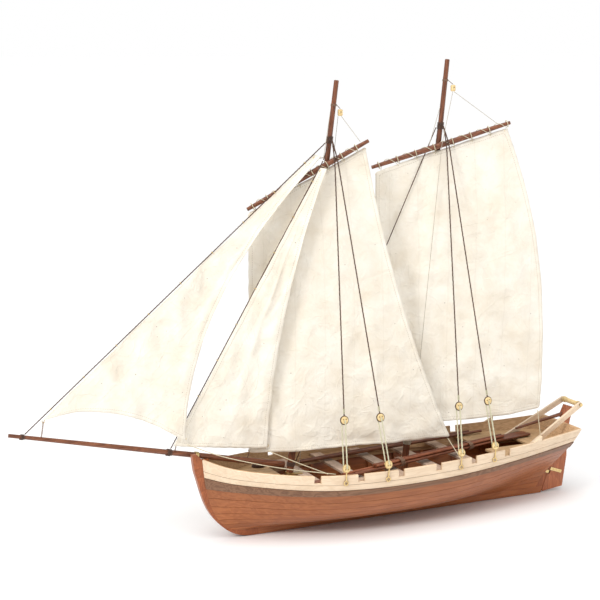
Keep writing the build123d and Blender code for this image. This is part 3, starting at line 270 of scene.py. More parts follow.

# %% [markdown]
# ## Handling marks and painted shade in the corners
#
# A soft, slightly larger noise breaks up every surface with handling marks, and the ambient
# occlusion node paints shade into seams and inside corners.

# %% The handling and painted shade group
def make_handling_and_shade():
    group, start, end = new_group(
        "handling_marks_and_painted_shade",
        [("Size", FLOAT, 60.0), ("Reach", FLOAT, 0.003)],
        [("Blotch", FLOAT), ("Corners", FLOAT)],
    )
    place = add(group, "ShaderNodeTexCoord", (-700, 200))
    blotch = add(group, "ShaderNodeTexNoise", (-400, 200), Detail=3.0, Roughness=0.55)
    join(group, place, "Object", blotch, "Vector")
    join(group, start, "Size", blotch, "Scale")
    # painted shade: ambient occlusion finds seams and inside corners, which the finishes then
    # darken
    shut = add(group, "ShaderNodeAmbientOcclusion", (-400, -100), samples=8)
    join(group, start, "Reach", shut, "Distance")
    corners = maths(group, "SUBTRACT", 1.0, (shut, "AO"), clamp=True)
    group.links.new(blotch.outputs[0], end.inputs["Blotch"])
    group.links.new(corners[0].outputs[0], end.inputs["Corners"])
    return group


HANDLING_AND_SHADE = make_handling_and_shade()
print("handling group sockets:", [item.name for item in HANDLING_AND_SHADE.interface.items_tree])

# %% [markdown]
# ## One function for every timber
#
# The woods differ in colour, in how strongly the figure shows and in how glossy the varnish
# is.  So one function builds them all.  `Random Per Island` is different on every separate
# plank, which keeps a planked hull from looking like one printed sheet.

# %% Timber materials
def timber(name, dark, light, figure=0.5, pores=0.35, along="X", shine=0.42, varied=0.10,
           coat=0.0, bands=9.0, bump=0.12, corner_shade=0.55, contrast=1.0):
    material = bpy.data.materials.new(name)
    material.use_nodes = True
    tree = material.node_tree
    shader = tree.nodes["Principled BSDF"]
    grain = add(tree, "ShaderNodeGroup", (-900, 200), node_tree=GRAIN)
    stretch = {"X": (28, 330, 330), "Y": (330, 28, 330), "Z": (330, 330, 28)}[along]
    grain.inputs["Stretch"].default_value = stretch
    grain.inputs["Bands"].default_value = bands
    piece = add(tree, "ShaderNodeNewGeometry", (-1100, -100))
    shift = maths(tree, "MULTIPLY", (piece, "Random Per Island"), 37.0)
    tree.links.new(shift[0].outputs[0], grain.inputs["Shift"])
    marks_and_shade = add(tree, "ShaderNodeGroup", (-900, -300), node_tree=HANDLING_AND_SHADE)
    mixing = maths(tree, "ADD", maths(tree, "MULTIPLY", (grain, "Figure"), figure),
                   maths(tree, "MULTIPLY", (grain, "Fibre"), 1.0 - figure))
    half = 0.28 / contrast
    ramp = add(tree, "ShaderNodeMapRange", (-400, 200), From_Min=0.5 - half, From_Max=0.5 + half)
    tree.links.new(mixing[0].outputs[0], ramp.inputs[0])
    body = blend_colour(tree, (ramp, 0), dark, light)
    pore_share = maths(tree, "MULTIPLY", (grain, "Pores"), pores)
    deep = tuple(value * 0.45 for value in dark)
    body = blend_colour(tree, pore_share, body, deep)
    tint = maths(tree, "MULTIPLY_ADD", (piece, "Random Per Island"), varied * 2)
    tint[0].inputs[2].default_value = 1.0 - varied
    blotch = maths(tree, "MULTIPLY_ADD", (marks_and_shade, "Blotch"), 0.22)
    blotch[0].inputs[2].default_value = 0.89
    level = maths(tree, "MULTIPLY", tint, blotch)
    shade = add(tree, "ShaderNodeCombineColor", (-100, -50))
    for channel in range(3):
        tree.links.new(level[0].outputs[0], shade.inputs[channel])
    body = blend_colour(tree, 1.0, body, (shade, 0), "MULTIPLY")
    # painted shade: seams and inside corners found by ambient occlusion are darkened towards a
    # deep brown
    corner = maths(tree, "MULTIPLY", (marks_and_shade, "Corners"), corner_shade)
    body = blend_colour(tree, corner, body, tuple(value * 0.30 for value in dark))
    tree.links.new(body[0].outputs[body[1]], shader.inputs["Base Color"])
    rough = maths(tree, "MULTIPLY_ADD", (grain, "Fibre"), 0.22)
    rough[0].inputs[2].default_value = shine - 0.08
    tree.links.new(rough[0].outputs[0], shader.inputs["Roughness"])
    shader.inputs["Specular IOR Level"].default_value = 0.32
    shader.inputs["Coat Weight"].default_value = coat
    shader.inputs["Coat Roughness"].default_value = 0.18
    relief = add(tree, "ShaderNodeBump", (-200, -300), Strength=bump, Distance=0.0002)
    join(tree, grain, "Height", relief, "Height")
    join(tree, relief, 0, shader, "Normal")
    return material


MAHOGANY = timber("oiled_mahogany", (0.250, 0.070, 0.019), (0.440, 0.150, 0.047), 0.40, 0.10,
                  shine=0.34, coat=0.30, varied=0.11, bands=5.0, bump=0.05, contrast=0.52)
STEM_WOOD = timber("stem_mahogany", (0.240, 0.060, 0.016), (0.385, 0.112, 0.033), 0.5, 0.12,
                   along="Z", shine=0.36, coat=0.25, bump=0.05, contrast=0.7)
WALNUT = timber("walnut_wale", (0.150, 0.068, 0.034), (0.255, 0.132, 0.072), 0.4, 0.15,
                shine=0.40, coat=0.15)
LIME = timber("limewood", (0.70, 0.53, 0.365), (0.83, 0.67, 0.50), 0.25, 0.08, shine=0.55,
              varied=0.03, bands=5.0, corner_shade=0.45)
INSIDE = timber("inside_planking", (0.47, 0.28, 0.145), (0.67, 0.45, 0.26), 0.35, 0.25,
                shine=0.5, varied=0.08)
SEAT = timber("thwart_pear", (0.40, 0.27, 0.19), (0.58, 0.43, 0.33), 0.35, 0.3, along="Y",
              shine=0.5)
BENCH = timber("bench_tan", (0.42, 0.25, 0.115), (0.60, 0.40, 0.22), 0.4, 0.25, shine=0.5)
SOLE = timber("floorboards_olive", (0.20, 0.135, 0.060), (0.36, 0.26, 0.135), 0.35, 0.35,
              shine=0.55, varied=0.16)
SPAR = timber("dark_spar", (0.085, 0.026, 0.011), (0.230, 0.078, 0.034), 0.3, 0.3, along="Z",
              shine=0.38, coat=0.2)
SPAR_FLAT = timber("dark_spar_lying", (0.090, 0.028, 0.012), (0.245, 0.088, 0.040), 0.3, 0.3,
                   shine=0.38, coat=0.2)
OAR = timber("oar_wood", (0.135, 0.038, 0.015), (0.290, 0.090, 0.036), 0.3, 0.25, shine=0.42,
             varied=0.28, coat=0.15)
RUDDER = timber("rudder_mahogany", (0.290, 0.076, 0.025), (0.49, 0.162, 0.062), 0.3, 0.3,
                along="Z", shine=0.38, coat=0.3)
BOXWOOD = timber("boxwood", (0.66, 0.46, 0.20), (0.85, 0.67, 0.36), 0.3, 0.1, shine=0.45,
                 bands=4.0)
print("timbers:", [m.name for m in bpy.data.materials if m.use_nodes])

# %% [markdown]
# ## Brass
#
# Model fittings are stamped from soft brass.  Handling leaves them a little dull, so the
# roughness and colour wander.  Inside corners are painted darker and browner from ambient
# occlusion, which is painted shade.  Metallic is 1 all over and is set straight on the shader.

# %% Brass
def brass():
    material = bpy.data.materials.new("dull_brass")
    material.use_nodes = True
    tree = material.node_tree
    shader = tree.nodes["Principled BSDF"]
    shader.inputs["Metallic"].default_value = 1.0
    marks_and_shade = add(tree, "ShaderNodeGroup", (-700, 0), node_tree=HANDLING_AND_SHADE, Size=400.0, Reach=0.001)
    colour = blend_colour(tree, (marks_and_shade, "Blotch"), (0.62, 0.43, 0.17), (0.86, 0.68, 0.36))
    # painted shade: inside corners found by ambient occlusion are darkened towards brown
    colour = blend_colour(tree, maths(tree, "MULTIPLY", (marks_and_shade, "Corners"), 0.6), colour,
                          (0.22, 0.13, 0.05))
    tree.links.new(colour[0].outputs[colour[1]], shader.inputs["Base Color"])
    rough = maths(tree, "MULTIPLY_ADD", (marks_and_shade, "Blotch"), 0.25)
    rough[0].inputs[2].default_value = 0.22
    tree.links.new(rough[0].outputs[0], shader.inputs["Roughness"])
    return material


BRASS = brass()
print(BRASS.name, "has", len(BRASS.node_tree.nodes), "nodes")

# %% [markdown]
# ## Cord
#
# A laid rope is three strands twisted together.  The twist is real geometry here (see
# below); the material only adds fibre fuzz, slow mottling and a soft sheen.

# %% Cord materials
def cord_finish(name, dark, light):
    material = bpy.data.materials.new(name)
    material.use_nodes = True
    tree = material.node_tree
    shader = tree.nodes["Principled BSDF"]
    place = add(tree, "ShaderNodeTexCoord", (-900, 0))
    fibre = add(tree, "ShaderNodeTexNoise", (-700, 0), Scale=2600.0, Detail=3.0)
    slow = add(tree, "ShaderNodeTexNoise", (-700, -250), Scale=90.0, Detail=2.0)
    join(tree, place, "Object", fibre, "Vector")
    join(tree, place, "Object", slow, "Vector")
    share = maths(tree, "ADD", maths(tree, "MULTIPLY", (fibre, 0), 0.6),
                  maths(tree, "MULTIPLY", (slow, 0), 0.4))
    colour = blend_colour(tree, share, dark, light)
    tree.links.new(colour[0].outputs[colour[1]], shader.inputs["Base Color"])
    rough = maths(tree, "MULTIPLY_ADD", (fibre, 0), 0.2)
    rough[0].inputs[2].default_value = 0.7
    tree.links.new(rough[0].outputs[0], shader.inputs["Roughness"])
    shader.inputs["Sheen Weight"].default_value = 0.25
    shader.inputs["Specular IOR Level"].default_value = 0.2
    relief = add(tree, "ShaderNodeBump", (-200, -300), Strength=0.25, Distance=0.0001)
    join(tree, fibre, 0, relief, "Height")
    join(tree, relief, 0, shader, "Normal")
    return material


TARRED = cord_finish("tarred_cord", (0.040, 0.019, 0.012), (0.125, 0.062, 0.038))
CREAM = cord_finish("cream_cord", (0.50, 0.42, 0.27), (0.74, 0.67, 0.50))
GREY_LINE = cord_finish("grey_line", (0.33, 0.28, 0.21), (0.55, 0.49, 0.40))
LANYARD = cord_finish("lanyard_cord", (0.46, 0.43, 0.28), (0.68, 0.65, 0.48))
BROWN = cord_finish("brown_twine", (0.13, 0.068, 0.040), (0.28, 0.16, 0.10))
print("cords:", [cord.name for cord in (TARRED, CREAM, GREY_LINE, LANYARD, BROWN)])

# %% [markdown]
# ## Giving the carried parts their finish
#
# A CAD part keeps its mesh.  Only its material slot changes, so a table of finish to parts
# is enough.

# %% Paint the CAD parts
FINISHES = {
    STEM_WOOD: ["stem", "sternpost"],
    MAHOGANY: ["keel", "planking_port", "planking_starboard", "frames"],
    WALNUT: ["wale_port", "wale_starboard"],
    LIME: ["lower_strake_port", "lower_strake_starboard", "upper_strake_port",
           "upper_strake_starboard", "davit_arms", "davit_chocks"],
    INSIDE: ["bulwark_lining_port", "bulwark_lining_starboard", "transom", "thwart_risers"],
    SEAT: ["thwarts"],
    BENCH: ["stern_benches", "bow_platform", "mast_steps"],
    SOLE: ["floorboards"],
    SPAR: ["foremast", "mainmast"],
    SPAR_FLAT: ["bowsprit", "fore_yard", "main_yard", "spare_spars", "tiller"],
    OAR: ["oars"],
    RUDDER: ["rudder"],
    BOXWOOD: ["upper_deadeyes", "lower_deadeyes", "halyard_blocks", "davit_roller"],
    BRASS: ["mast_clamps", "bowsprit_band", "rudder_pintles", "rudder_straps", "gudgeons",
            "davit_pin", "chainplates", "jib_hanks"],
    TARRED: ["jib_stays", "main_stay", "rope_collars", "shrouds", "block_strops", "rope_coils"],
    CREAM: ["robands", "belaying_turns"],
    GREY_LINE: ["halyards", "sheets"],
    LANYARD: ["lanyards"],
    BROWN: ["oar_lashings"],
}


def paint(part, material):
    part.data.materials.clear()
    part.data.materials.append(material)


for material, names in FINISHES.items():
    for name in names:
        paint(NODES[name], material)
left = sorted(set(NODES) - {n for names in FINISHES.values() for n in names})
print("painted:", len(NODES) - len(left), "still to make:", left)

# %% [markdown]
# ## Sailcloth
#
# The sails are thin unbleached cotton: a fine weave, little dark specks of seed husk, faint
# seams between the cloths, and a stitched hem all round.  Each sail's mesh carries three
# measures in millimetres as attributes (how far a point is from the nearest edge, where it
# is along that edge, and how far it is from the luff) so that stitches and seams are drawn at
# their true size however the cloth hangs.

# %% The stitching group
def make_stitches():
    group, start, end = new_group(
        "stitching",
        [("Hem", FLOAT, 2.6), ("Pitch", FLOAT, 1.5), ("Cloths", FLOAT, 21.0)],
        [("Thread", FLOAT), ("Seam", FLOAT), ("Height", FLOAT), ("Hemmed", FLOAT)],
    )
    gap = add(group, "ShaderNodeAttribute", (-900, 300), attribute_name="edge_gap")
    run = add(group, "ShaderNodeAttribute", (-900, 100), attribute_name="edge_run")
    across = add(group, "ShaderNodeAttribute", (-900, -100), attribute_name="from_luff")
    off = maths(group, "ABSOLUTE", maths(group, "SUBTRACT", (gap, "Fac"), (start, "Hem")))
    line = add(group, "ShaderNodeMapRange", (-300, 300), From_Min=0.26, From_Max=0.12)
    group.links.new(off[0].outputs[0], line.inputs[0])
    part = maths(group, "FRACT", maths(group, "DIVIDE", (run, "Fac"), (start, "Pitch")))
    dash = maths(group, "LESS_THAN", part, 0.62)
    thread = maths(group, "MULTIPLY", (line, 0), dash)
    cloth = maths(group, "FRACT", maths(group, "DIVIDE", (across, "Fac"), (start, "Cloths")))
    nearest = maths(group, "ABSOLUTE", maths(group, "SUBTRACT", cloth, 0.5))
    seam = add(group, "ShaderNodeMapRange", (-300, -100), From_Min=0.030, From_Max=0.012)
    group.links.new(nearest[0].outputs[0], seam.inputs[0])
    hemmed = maths(group, "LESS_THAN", (gap, "Fac"), (start, "Hem"))
    height = maths(group, "ADD", maths(group, "MULTIPLY", thread, 0.5),
                   maths(group, "ADD", maths(group, "MULTIPLY", (seam, 0), 0.5),
                         maths(group, "MULTIPLY", hemmed, 0.6)))
    for source, label in ((thread, "Thread"), ((seam, 0), "Seam"), (height, "Height"),
                          (hemmed, "Hemmed")):
        group.links.new(source[0].outputs[source[1]], end.inputs[label])
    return group


STITCHES = make_stitches()
print("stitching group sockets:", [item.name for item in STITCHES.interface.items_tree])

# %% [markdown]
# ## Cotton, from the thread up
#
# Cotton could be one flat cream, but real cloth is stained, specked and creased.  So the
# colour layers a slow wash, fine thread streaks, seed specks and the stitching over each
# other.  The relief has two steps: creases a centimetre across, and on top of them the weave
# and the raised thread.

# %% The cloth material
def sailcloth(name):
    material = bpy.data.materials.new(name)
    material.use_nodes = True
    tree = material.node_tree
    shader = tree.nodes["Principled BSDF"]
    place = add(tree, "ShaderNodeTexCoord", (-1300, 0))
    wash = add(tree, "ShaderNodeTexNoise", (-1000, 400), Scale=48.0, Detail=5.0, Roughness=0.62)
    thread = add(tree, "ShaderNodeTexNoise", (-1000, 200), Scale=420.0, Detail=3.0)
    husk = add(tree, "ShaderNodeTexVoronoi", (-1000, 0), Scale=145.0, Randomness=1.0)
    weave_x = add(tree, "ShaderNodeTexWave", (-1000, -250), wave_type="BANDS",
                  bands_direction="X", Scale=900.0, Distortion=1.2, Detail=1.0)
    weave_z = add(tree, "ShaderNodeTexWave", (-1000, -500), wave_type="BANDS",
                  bands_direction="Z", Scale=900.0, Distortion=1.2, Detail=1.0)
    for texture in (wash, thread, husk, weave_x, weave_z):
        join(tree, place, "Object", texture, "Vector")
    stitch = add(tree, "ShaderNodeGroup", (-1000, 700), node_tree=STITCHES)
    pale, warm = (0.890, 0.840, 0.745), (0.770, 0.680, 0.545)
    washed = add(tree, "ShaderNodeMapRange", (-700, 400), From_Min=0.36, From_Max=0.80)
    tree.links.new(wash.outputs[0], washed.inputs[0])
    colour = blend_colour(tree, (washed, 0), pale, warm)
    streak = maths(tree, "MULTIPLY", (thread, 0), 0.10)
    colour = blend_colour(tree, streak, colour, (0.62, 0.56, 0.47))
    seed = add(tree, "ShaderNodeMapRange", (-700, 0), From_Min=0.070, From_Max=0.035)
    join(tree, husk, "Distance", seed, 0)
    rare = maths(tree, "GREATER_THAN", (thread, 0), 0.50)
    speck = maths(tree, "MULTIPLY", maths(tree, "MULTIPLY", (seed, 0), rare), 0.75)
    colour = blend_colour(tree, speck, colour, (0.27, 0.21, 0.16))
    colour = blend_colour(tree, maths(tree, "MULTIPLY", (stitch, "Seam"), 0.10), colour,
                          (0.55, 0.48, 0.38))
    colour = blend_colour(tree, maths(tree, "MULTIPLY", (stitch, "Thread"), 0.55), colour,
                          (0.42, 0.35, 0.26))
    tree.links.new(colour[0].outputs[colour[1]], shader.inputs["Base Color"])
    rough = maths(tree, "MULTIPLY_ADD", (thread, 0), 0.12)
    rough[0].inputs[2].default_value = 0.80
    tree.links.new(rough[0].outputs[0], shader.inputs["Roughness"])
    shader.inputs["Sheen Weight"].default_value = 0.15
    shader.inputs["Specular IOR Level"].default_value = 0.12
    woven = maths(tree, "MULTIPLY", maths(tree, "ADD", (weave_x, 1), (weave_z, 1)), 0.30)
    raised = maths(tree, "ADD", woven, maths(tree, "MULTIPLY", (stitch, "Height"), 1.0))
    crumple = add(tree, "ShaderNodeTexNoise", (-1000, -750), Scale=85.0, Detail=4.0,
                  Roughness=0.5, Distortion=0.8)
    join(tree, place, "Object", crumple, "Vector")
    bend = add(tree, "ShaderNodeTexNoise", (-1000, -950), Scale=36.0, Detail=2.0,
               Distortion=1.6)
    join(tree, place, "Object", bend, "Vector")
    ridge = add(tree, "ShaderNodeMapRange", (-700, -950), From_Min=0.045, From_Max=0.0)
    off_ridge = maths(tree, "ABSOLUTE", maths(tree, "SUBTRACT", (bend, 0), 0.5))
    tree.links.new(off_ridge[0].outputs[0], ridge.inputs[0])
    worked = maths(tree, "ADD", (crumple, 0), maths(tree, "MULTIPLY", (ridge, 0), 0.11))
    soft = add(tree, "ShaderNodeBump", (-400, -600), Strength=0.8, Distance=0.0017)
    tree.links.new(worked[0].outputs[0], soft.inputs["Height"])
    relief = add(tree, "ShaderNodeBump", (-200, -400), Strength=0.35, Distance=0.0002)
    join(tree, soft, 0, relief, "Normal")
    tree.links.new(raised[0].outputs[0], relief.inputs["Height"])
    join(tree, relief, 0, shader, "Normal")
    return material


COTTON = sailcloth("unbleached_cotton")
print(COTTON.name, "has", len(COTTON.node_tree.nodes), "nodes")

# %% [markdown]
# ## Reading a sail's outline
#
# The CAD sail says where the cloth is, so its outline and depth are read from it: rays along
# Y find its surface, and a search inwards from outside finds each edge.  Four edge lines then
# make a patch of evenly spread points, which is a far better mesh for folds than the CAD one.

# %% Measuring a CAD sail
class Cloth:
    """Reads places from a CAD sail, in the frame's metres."""

    def __init__(self, node):
        mesh = NODES[node].data
        points = [v.co.copy() for v in mesh.vertices]
        self.points = points
        self.tree = BVHTree.FromPolygons(points, [tuple(p.vertices) for p in mesh.polygons])
        self.centre = sum(points, Vector()) / len(points)

    def corner(self, right, up):
        """Return the x, z of the point that lies furthest in this direction."""
        best = max(self.points, key=lambda p: p.x * right + p.z * up)
        return np.array((best.x, best.z))

    def depth(self, x, z):
        """Return the middle of the cloth's thickness at x, z, or None beside it."""
        near = self.tree.ray_cast(Vector((x, -1.0, z)), Vector((0, 1, 0)))[0]
        far = self.tree.ray_cast(Vector((x, 1.0, z)), Vector((0, -1, 0)))[0]
        return None if near is None or far is None else (near.y + far.y) / 2

    def edge(self, start, end, count):
        """Return points of the outline from one corner to the next."""
        chord = end - start
        outward = np.array((chord[1], -chord[0])) / np.linalg.norm(chord)
        middle = (start + end) / 2
        if np.dot(outward, middle - np.array((self.centre.x, self.centre.z))) < 0:
            outward = -outward
        points = []
        for share in np.linspace(0, 1, count):
            base = start + chord * share
            if 0 < share < 1:
                reach = 0.022
                while reach > -0.040 and self.depth(*(base + outward * reach)) is None:
                    reach -= 0.00025
                base = base + outward * reach
            points.append(base)
        return np.array(points)


def patch(edges, rows, columns):
    """Return a grid of x, z points between four edges: head, foot, luff and leech."""
    head, foot, luff, leech = edges
    grid = np.zeros((rows, columns, 2))
    for i in range(rows):
        v = i / (rows - 1)
        for j in range(columns):
            u = j / (columns - 1)
            sides = (1 - u) * luff[i] + u * leech[i]
            ends = (1 - v) * head[j] + v * foot[j]
            corners = ((1 - u) * (1 - v) * head[0] + u * (1 - v) * head[-1]
                       + (1 - u) * v * foot[0] + u * v * foot[-1])
            grid[i, j] = sides + ends - corners
    return grid


print("sail outlines are read to 0.25 mm")

# %% [markdown]
# ## Cutting a sail
#
# `cut_sail` turns the outline into a cloth mesh with its measures.  A jib is set along a
# stay, so its luff may be moved out a little to meet the rope.  The measures are kept as
# point attributes, because they survive subdivision and need no unwrapping.

# %% Cutting
def cut_sail(name, node, corners, rows=64, columns=44, luff_out=0.0):
    cloth = Cloth(node)
    head_a, head_b, foot_a, foot_b = (cloth.corner(*direction) for direction in corners)
    edges = (cloth.edge(head_a, head_b, columns), cloth.edge(foot_a, foot_b, columns),
             cloth.edge(head_a, foot_a, rows), cloth.edge(head_b, foot_b, rows))
    grid = patch(edges, rows, columns)
    chord = foot_a - head_a
    outward = np.array((chord[1], -chord[0])) / np.linalg.norm(chord)
    if np.dot(outward, head_a - (cloth.centre.x, cloth.centre.z)) < 0:
        outward = -outward
    grid += (1 - np.linspace(0, 1, columns))[None, :, None] * outward * luff_out
    inwards = np.array((cloth.centre.x, cloth.centre.z))
    points = []
    for place in grid.reshape(-1, 2):
        depth, pull = None, 0.0
        while depth is None and pull < 0.2:
            spot = place + (inwards - place) * pull
            depth = cloth.depth(*spot)
            pull += 0.004
        points.append((place[0], cloth.centre.y if depth is None else depth, place[1]))
    faces = []
    for i in range(rows - 1):
        for j in range(columns - 1):
            a = i * columns + j
            faces.append((a, a + 1, a + columns + 1, a + columns))
    data = bpy.data.meshes.new(name)
    data.from_pydata(points, [], faces)
    sail = bpy.data.objects.new(name, data)
    bpy.context.scene.collection.objects.link(sail)
    measure_sail(sail, np.array(points).reshape(rows, columns, 3))
    return sail


def measure_sail(sail, grid):
    """Store each point's distances along and from the edges, in millimetres."""
    rows, columns = grid.shape[:2]
    step_u = np.linalg.norm(np.diff(grid, axis=1), axis=2)
    step_v = np.linalg.norm(np.diff(grid, axis=0), axis=2)
    along_u = np.hstack([np.zeros((rows, 1)), np.cumsum(step_u, axis=1)]) / MM
    along_v = np.vstack([np.zeros((1, columns)), np.cumsum(step_v, axis=0)]) / MM
    left = along_u
    right = along_u[:, -1:] - along_u
    top = along_v
    bottom = along_v[-1:, :] - along_v
    stack = np.stack([left, right, top, bottom])
    nearest = stack.argmin(axis=0)
    run = np.where(nearest < 2, along_v, along_u)
    for label, values in (("edge_gap", stack.min(axis=0)), ("edge_run", run),
                          ("from_luff", along_u)):
        layer = sail.data.attributes.new(label, "FLOAT", "POINT")
        layer.data.foreach_set("value", values.astype(np.float32).ravel())
    sail["size"] = (rows, columns)


print("measures kept on each sail: edge_gap, edge_run, from_luff")

# %% [markdown]
# ## Hanging a sail
#
# Cloth could be creased by hand or by noise alone, but then it looks carved.  So `hang`
# starts from gentle folds, and Blender's cloth solver lets them fall.  The head and the luff
# are pinned, and so is the clew.  The folds hold more cloth than the flat sail, which is
# what lets it settle.  Points may only move a few millimetres, and where a mast is behind the
# cloth they may only move away from it.

# %% Hanging
CREASE_WIDTH = (38, 13)      # folds per metre across a sail and down it
CRINKLE_WIDTH = (95, 60)
CROSS_CRINKLE = (60, 40, 110)


def hang(sail, tuck, drop=26, loose=0.004, most=0.0035, port_only=False, folds=(), seed=1):
    """Let a sail fall into folds; tuck and loose are how deep its folds and crinkles are."""
    rows, columns = (int(v) for v in sail["size"])
    mesh = sail.data
    rest = np.array([v.co for v in mesh.vertices]).reshape(rows, columns, 3)
    wanted = rest.copy()
    for centre, direction, width, height, reach in folds:
        for i in range(rows):
            for j in range(columns):
                u, v = j / (columns - 1) - centre[0], i / (rows - 1) - centre[1]
                off = u * direction[1] - v * direction[0]
                along = u * direction[0] + v * direction[1]
                crest = math.exp(-(off / width)**2 - (along / reach)**2)
                wanted[i, j, 1] -= height * crest
    random.seed(seed)
    offset = Vector((random.random() * 50, 0, random.random() * 50))
    for i in range(rows):
        for j in range(columns):
            u, v = j / (columns - 1), i / (rows - 1)
            inner = min(1.0, 2.6 * v) * min(1.0, 3 * (0.15 + min(u, 1 - u)))
            x, _, z = rest[i, j]
            slow = noise.noise(offset + Vector((x * CREASE_WIDTH[0], 0, z * CREASE_WIDTH[1])))
            fine = noise.noise(offset + Vector((x * CRINKLE_WIDTH[0], 7, z * CRINKLE_WIDTH[1])))
            slant = x * CROSS_CRINKLE[0] + z * CROSS_CRINKLE[1]
            fine += 0.8 * noise.noise(offset + Vector((slant, 3, z * CROSS_CRINKLE[2])))
            wanted[i, j, 1] -= inner * (tuck * (slow * 0.9 + 0.6) + loose * 0.30 * fine)
    wanted = settle(sail, rest, wanted, drop)
    shift = wanted - rest
    length = np.linalg.norm(shift, axis=2, keepdims=True)
    shift = shift * np.minimum(1.0, most / np.maximum(length, 1e-9))
    if port_only:
        shift[:, :, 1] = np.minimum(shift[:, :, 1], 0.0)
    final = rest + shift
    mesh.vertices.foreach_set("co", final.reshape(-1).astype(np.float32))
    mesh.update()
    print(sail.name, "moved at most", round(float(np.abs(shift).max()) / MM, 2), "mm")


def settle(sail, rest, wanted, frames):
    """Run the cloth solver from the wanted shape and return where it comes to rest."""
    rows, columns = rest.shape[:2]
    mesh = sail.data
    mesh.vertices.foreach_set("co", wanted.reshape(-1).astype(np.float32))
    pins = sail.vertex_groups.new(name="pins")
    for i in range(rows):
        for j in range(columns):
            index = i * columns + j
            tied = i == 0 or j == 0
            corner = i >= rows - 2 and j >= columns - 2
            if tied or corner:
                pins.add([index], 1.0, "REPLACE")
            elif j == columns - 1 or i == rows - 1:
                pins.add([index], 0.25, "REPLACE")
    solver = sail.modifiers.new("cloth", "CLOTH")
    settings = solver.settings
    settings.quality = 7
    settings.mass = 0.02
    settings.tension_stiffness = 22
    settings.compression_stiffness = 22
    settings.shear_stiffness = 10
    settings.bending_stiffness = 0.06
    settings.vertex_group_mass = "pins"
    settings.pin_stiffness = 2.0
    settings.air_damping = 4.0
    solver.collision_settings.use_collision = False
    solver.point_cache.frame_end = frames
    scene = bpy.context.scene
    scene.frame_start = 1
    scene.frame_end = frames
    for step in range(1, frames + 1):
        scene.frame_set(step)
    shaped = sail.evaluated_get(bpy.context.evaluated_depsgraph_get()).to_mesh()
    fallen = np.array([v.co for v in shaped.vertices]).reshape(rows, columns, 3)
    sail.evaluated_get(bpy.context.evaluated_depsgraph_get()).to_mesh_clear()
    sail.modifiers.remove(solver)
    scene.frame_set(1)
    return fallen


# %% [markdown]
# ## Hems and thickness
#
# A hem is the cloth folded over on itself, so it is thicker.  Solidify takes its thickness
# from a vertex group, which makes the border band stand a little proud on both faces.  One
# subdivision first rounds the folds.

# %% Finishing a sail
SAIL_THICKNESS = 0.34 * MM
HEM_WIDTH = 2.6              # millimetres, as the edge_gap measure is
SINGLE_FOLD = 0.55           # a single cloth's share of the hem's thickness


def finish_sail(sail, node):
    smooth = sail.modifiers.new("smooth", "SUBSURF")
    smooth.levels = 1
    smooth.render_levels = 1
    apply_modifiers(sail)
    gap = sail.data.attributes["edge_gap"]
    band = sail.vertex_groups.new(name="hem")
    for index, item in enumerate(gap.data):
        fold = 1.0 if item.value < HEM_WIDTH else SINGLE_FOLD
        band.add([index], fold, "REPLACE")
    thick = sail.modifiers.new("thick", "SOLIDIFY")
    thick.thickness = SAIL_THICKNESS / SINGLE_FOLD
    thick.offset = 0.0
    thick.vertex_group = "hem"
    apply_modifiers(sail)
    for polygon in sail.data.polygons:
        polygon.use_smooth = True
    paint(sail, COTTON)
    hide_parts(node)
    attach(sail, "boat")
    return sail


def apply_modifiers(piece):
    """Replace a piece's mesh with what its modifiers make of it."""
    graph = bpy.context.evaluated_depsgraph_get()
    made = bpy.data.meshes.new_from_object(piece.evaluated_get(graph))
    piece.modifiers.clear()
    piece.data = made


# %% [markdown]
# ## The four sails
#
# Corners are named by direction: (right, up) for the head's two ends, then the tack and the
# clew.  Folds are (centre, direction, width, height, reach) in shares of the sail: a lug sail
# creases from its throat towards its clew, and a jib curls along its leech.

# %% Make the sails
LUG_CORNERS = ((-1, 0.5), (0.25, 1), (-1, -1), (1, -0.9))
JIB_CORNERS = ((-0.12, 1), (0.6, 1), (-1, -0.2), (0.6, -1))

foresail = cut_sail("foresail_cloth", "foresail", LUG_CORNERS)
hang(foresail, 0.0030, loose=0.0055, most=0.0055, port_only=True, seed=3, folds=[
    ((0.10, 0.55), (0.05, 1.0), 0.045, 0.0016, 0.5),
    ((0.30, 0.30), (0.35, 1.0), 0.05, 0.0014, 0.4),
    ((0.75, 0.65), (-0.25, 1.0), 0.06, 0.0018, 0.35)])
finish_sail(foresail, "foresail")

mainsail = cut_sail("mainsail_cloth", "mainsail", LUG_CORNERS)
hang(mainsail, 0.0030, loose=0.0055, most=0.0055, port_only=True, seed=11, folds=[
    ((0.45, 0.45), (0.12, 1.0), 0.05, 0.0022, 0.5),
    ((0.68, 0.35), (0.22, 1.0), 0.05, 0.0020, 0.45),
    ((0.86, 0.55), (0.10, 1.0), 0.045, 0.0018, 0.45)])
finish_sail(mainsail, "mainsail")

outer_jib = cut_sail("outer_jib_cloth", "outer_jib", JIB_CORNERS, 64, 36, 1.6 * MM)
hang(outer_jib, 0.0026, loose=0.0055, most=0.0048, seed=21, folds=[
    ((0.9, 0.7), (0.1, 1.0), 0.07, 0.0016, 0.3),
    ((0.45, 0.8), (0.6, 0.6), 0.08, 0.0012, 0.3)])
finish_sail(outer_jib, "outer_jib")

inner_jib = cut_sail("inner_jib_cloth", "inner_jib", JIB_CORNERS, 64, 36, 1.6 * MM)
hang(inner_jib, 0.0022, loose=0.0050, most=0.0040, seed=29, folds=[
    ((0.5, 0.6), (0.1, 1.0), 0.07, 0.0012, 0.4)])
finish_sail(inner_jib, "inner_jib")

# %% [markdown]
# ## Laid rope
#
# Each rope follows the middle of its CAD rod.  A rod's mesh is a stack of rings, so its
# points are sorted along its length and every ring gives one point of the route.  A ring with
# three lobes, turned a little further at each step, then makes the strands.

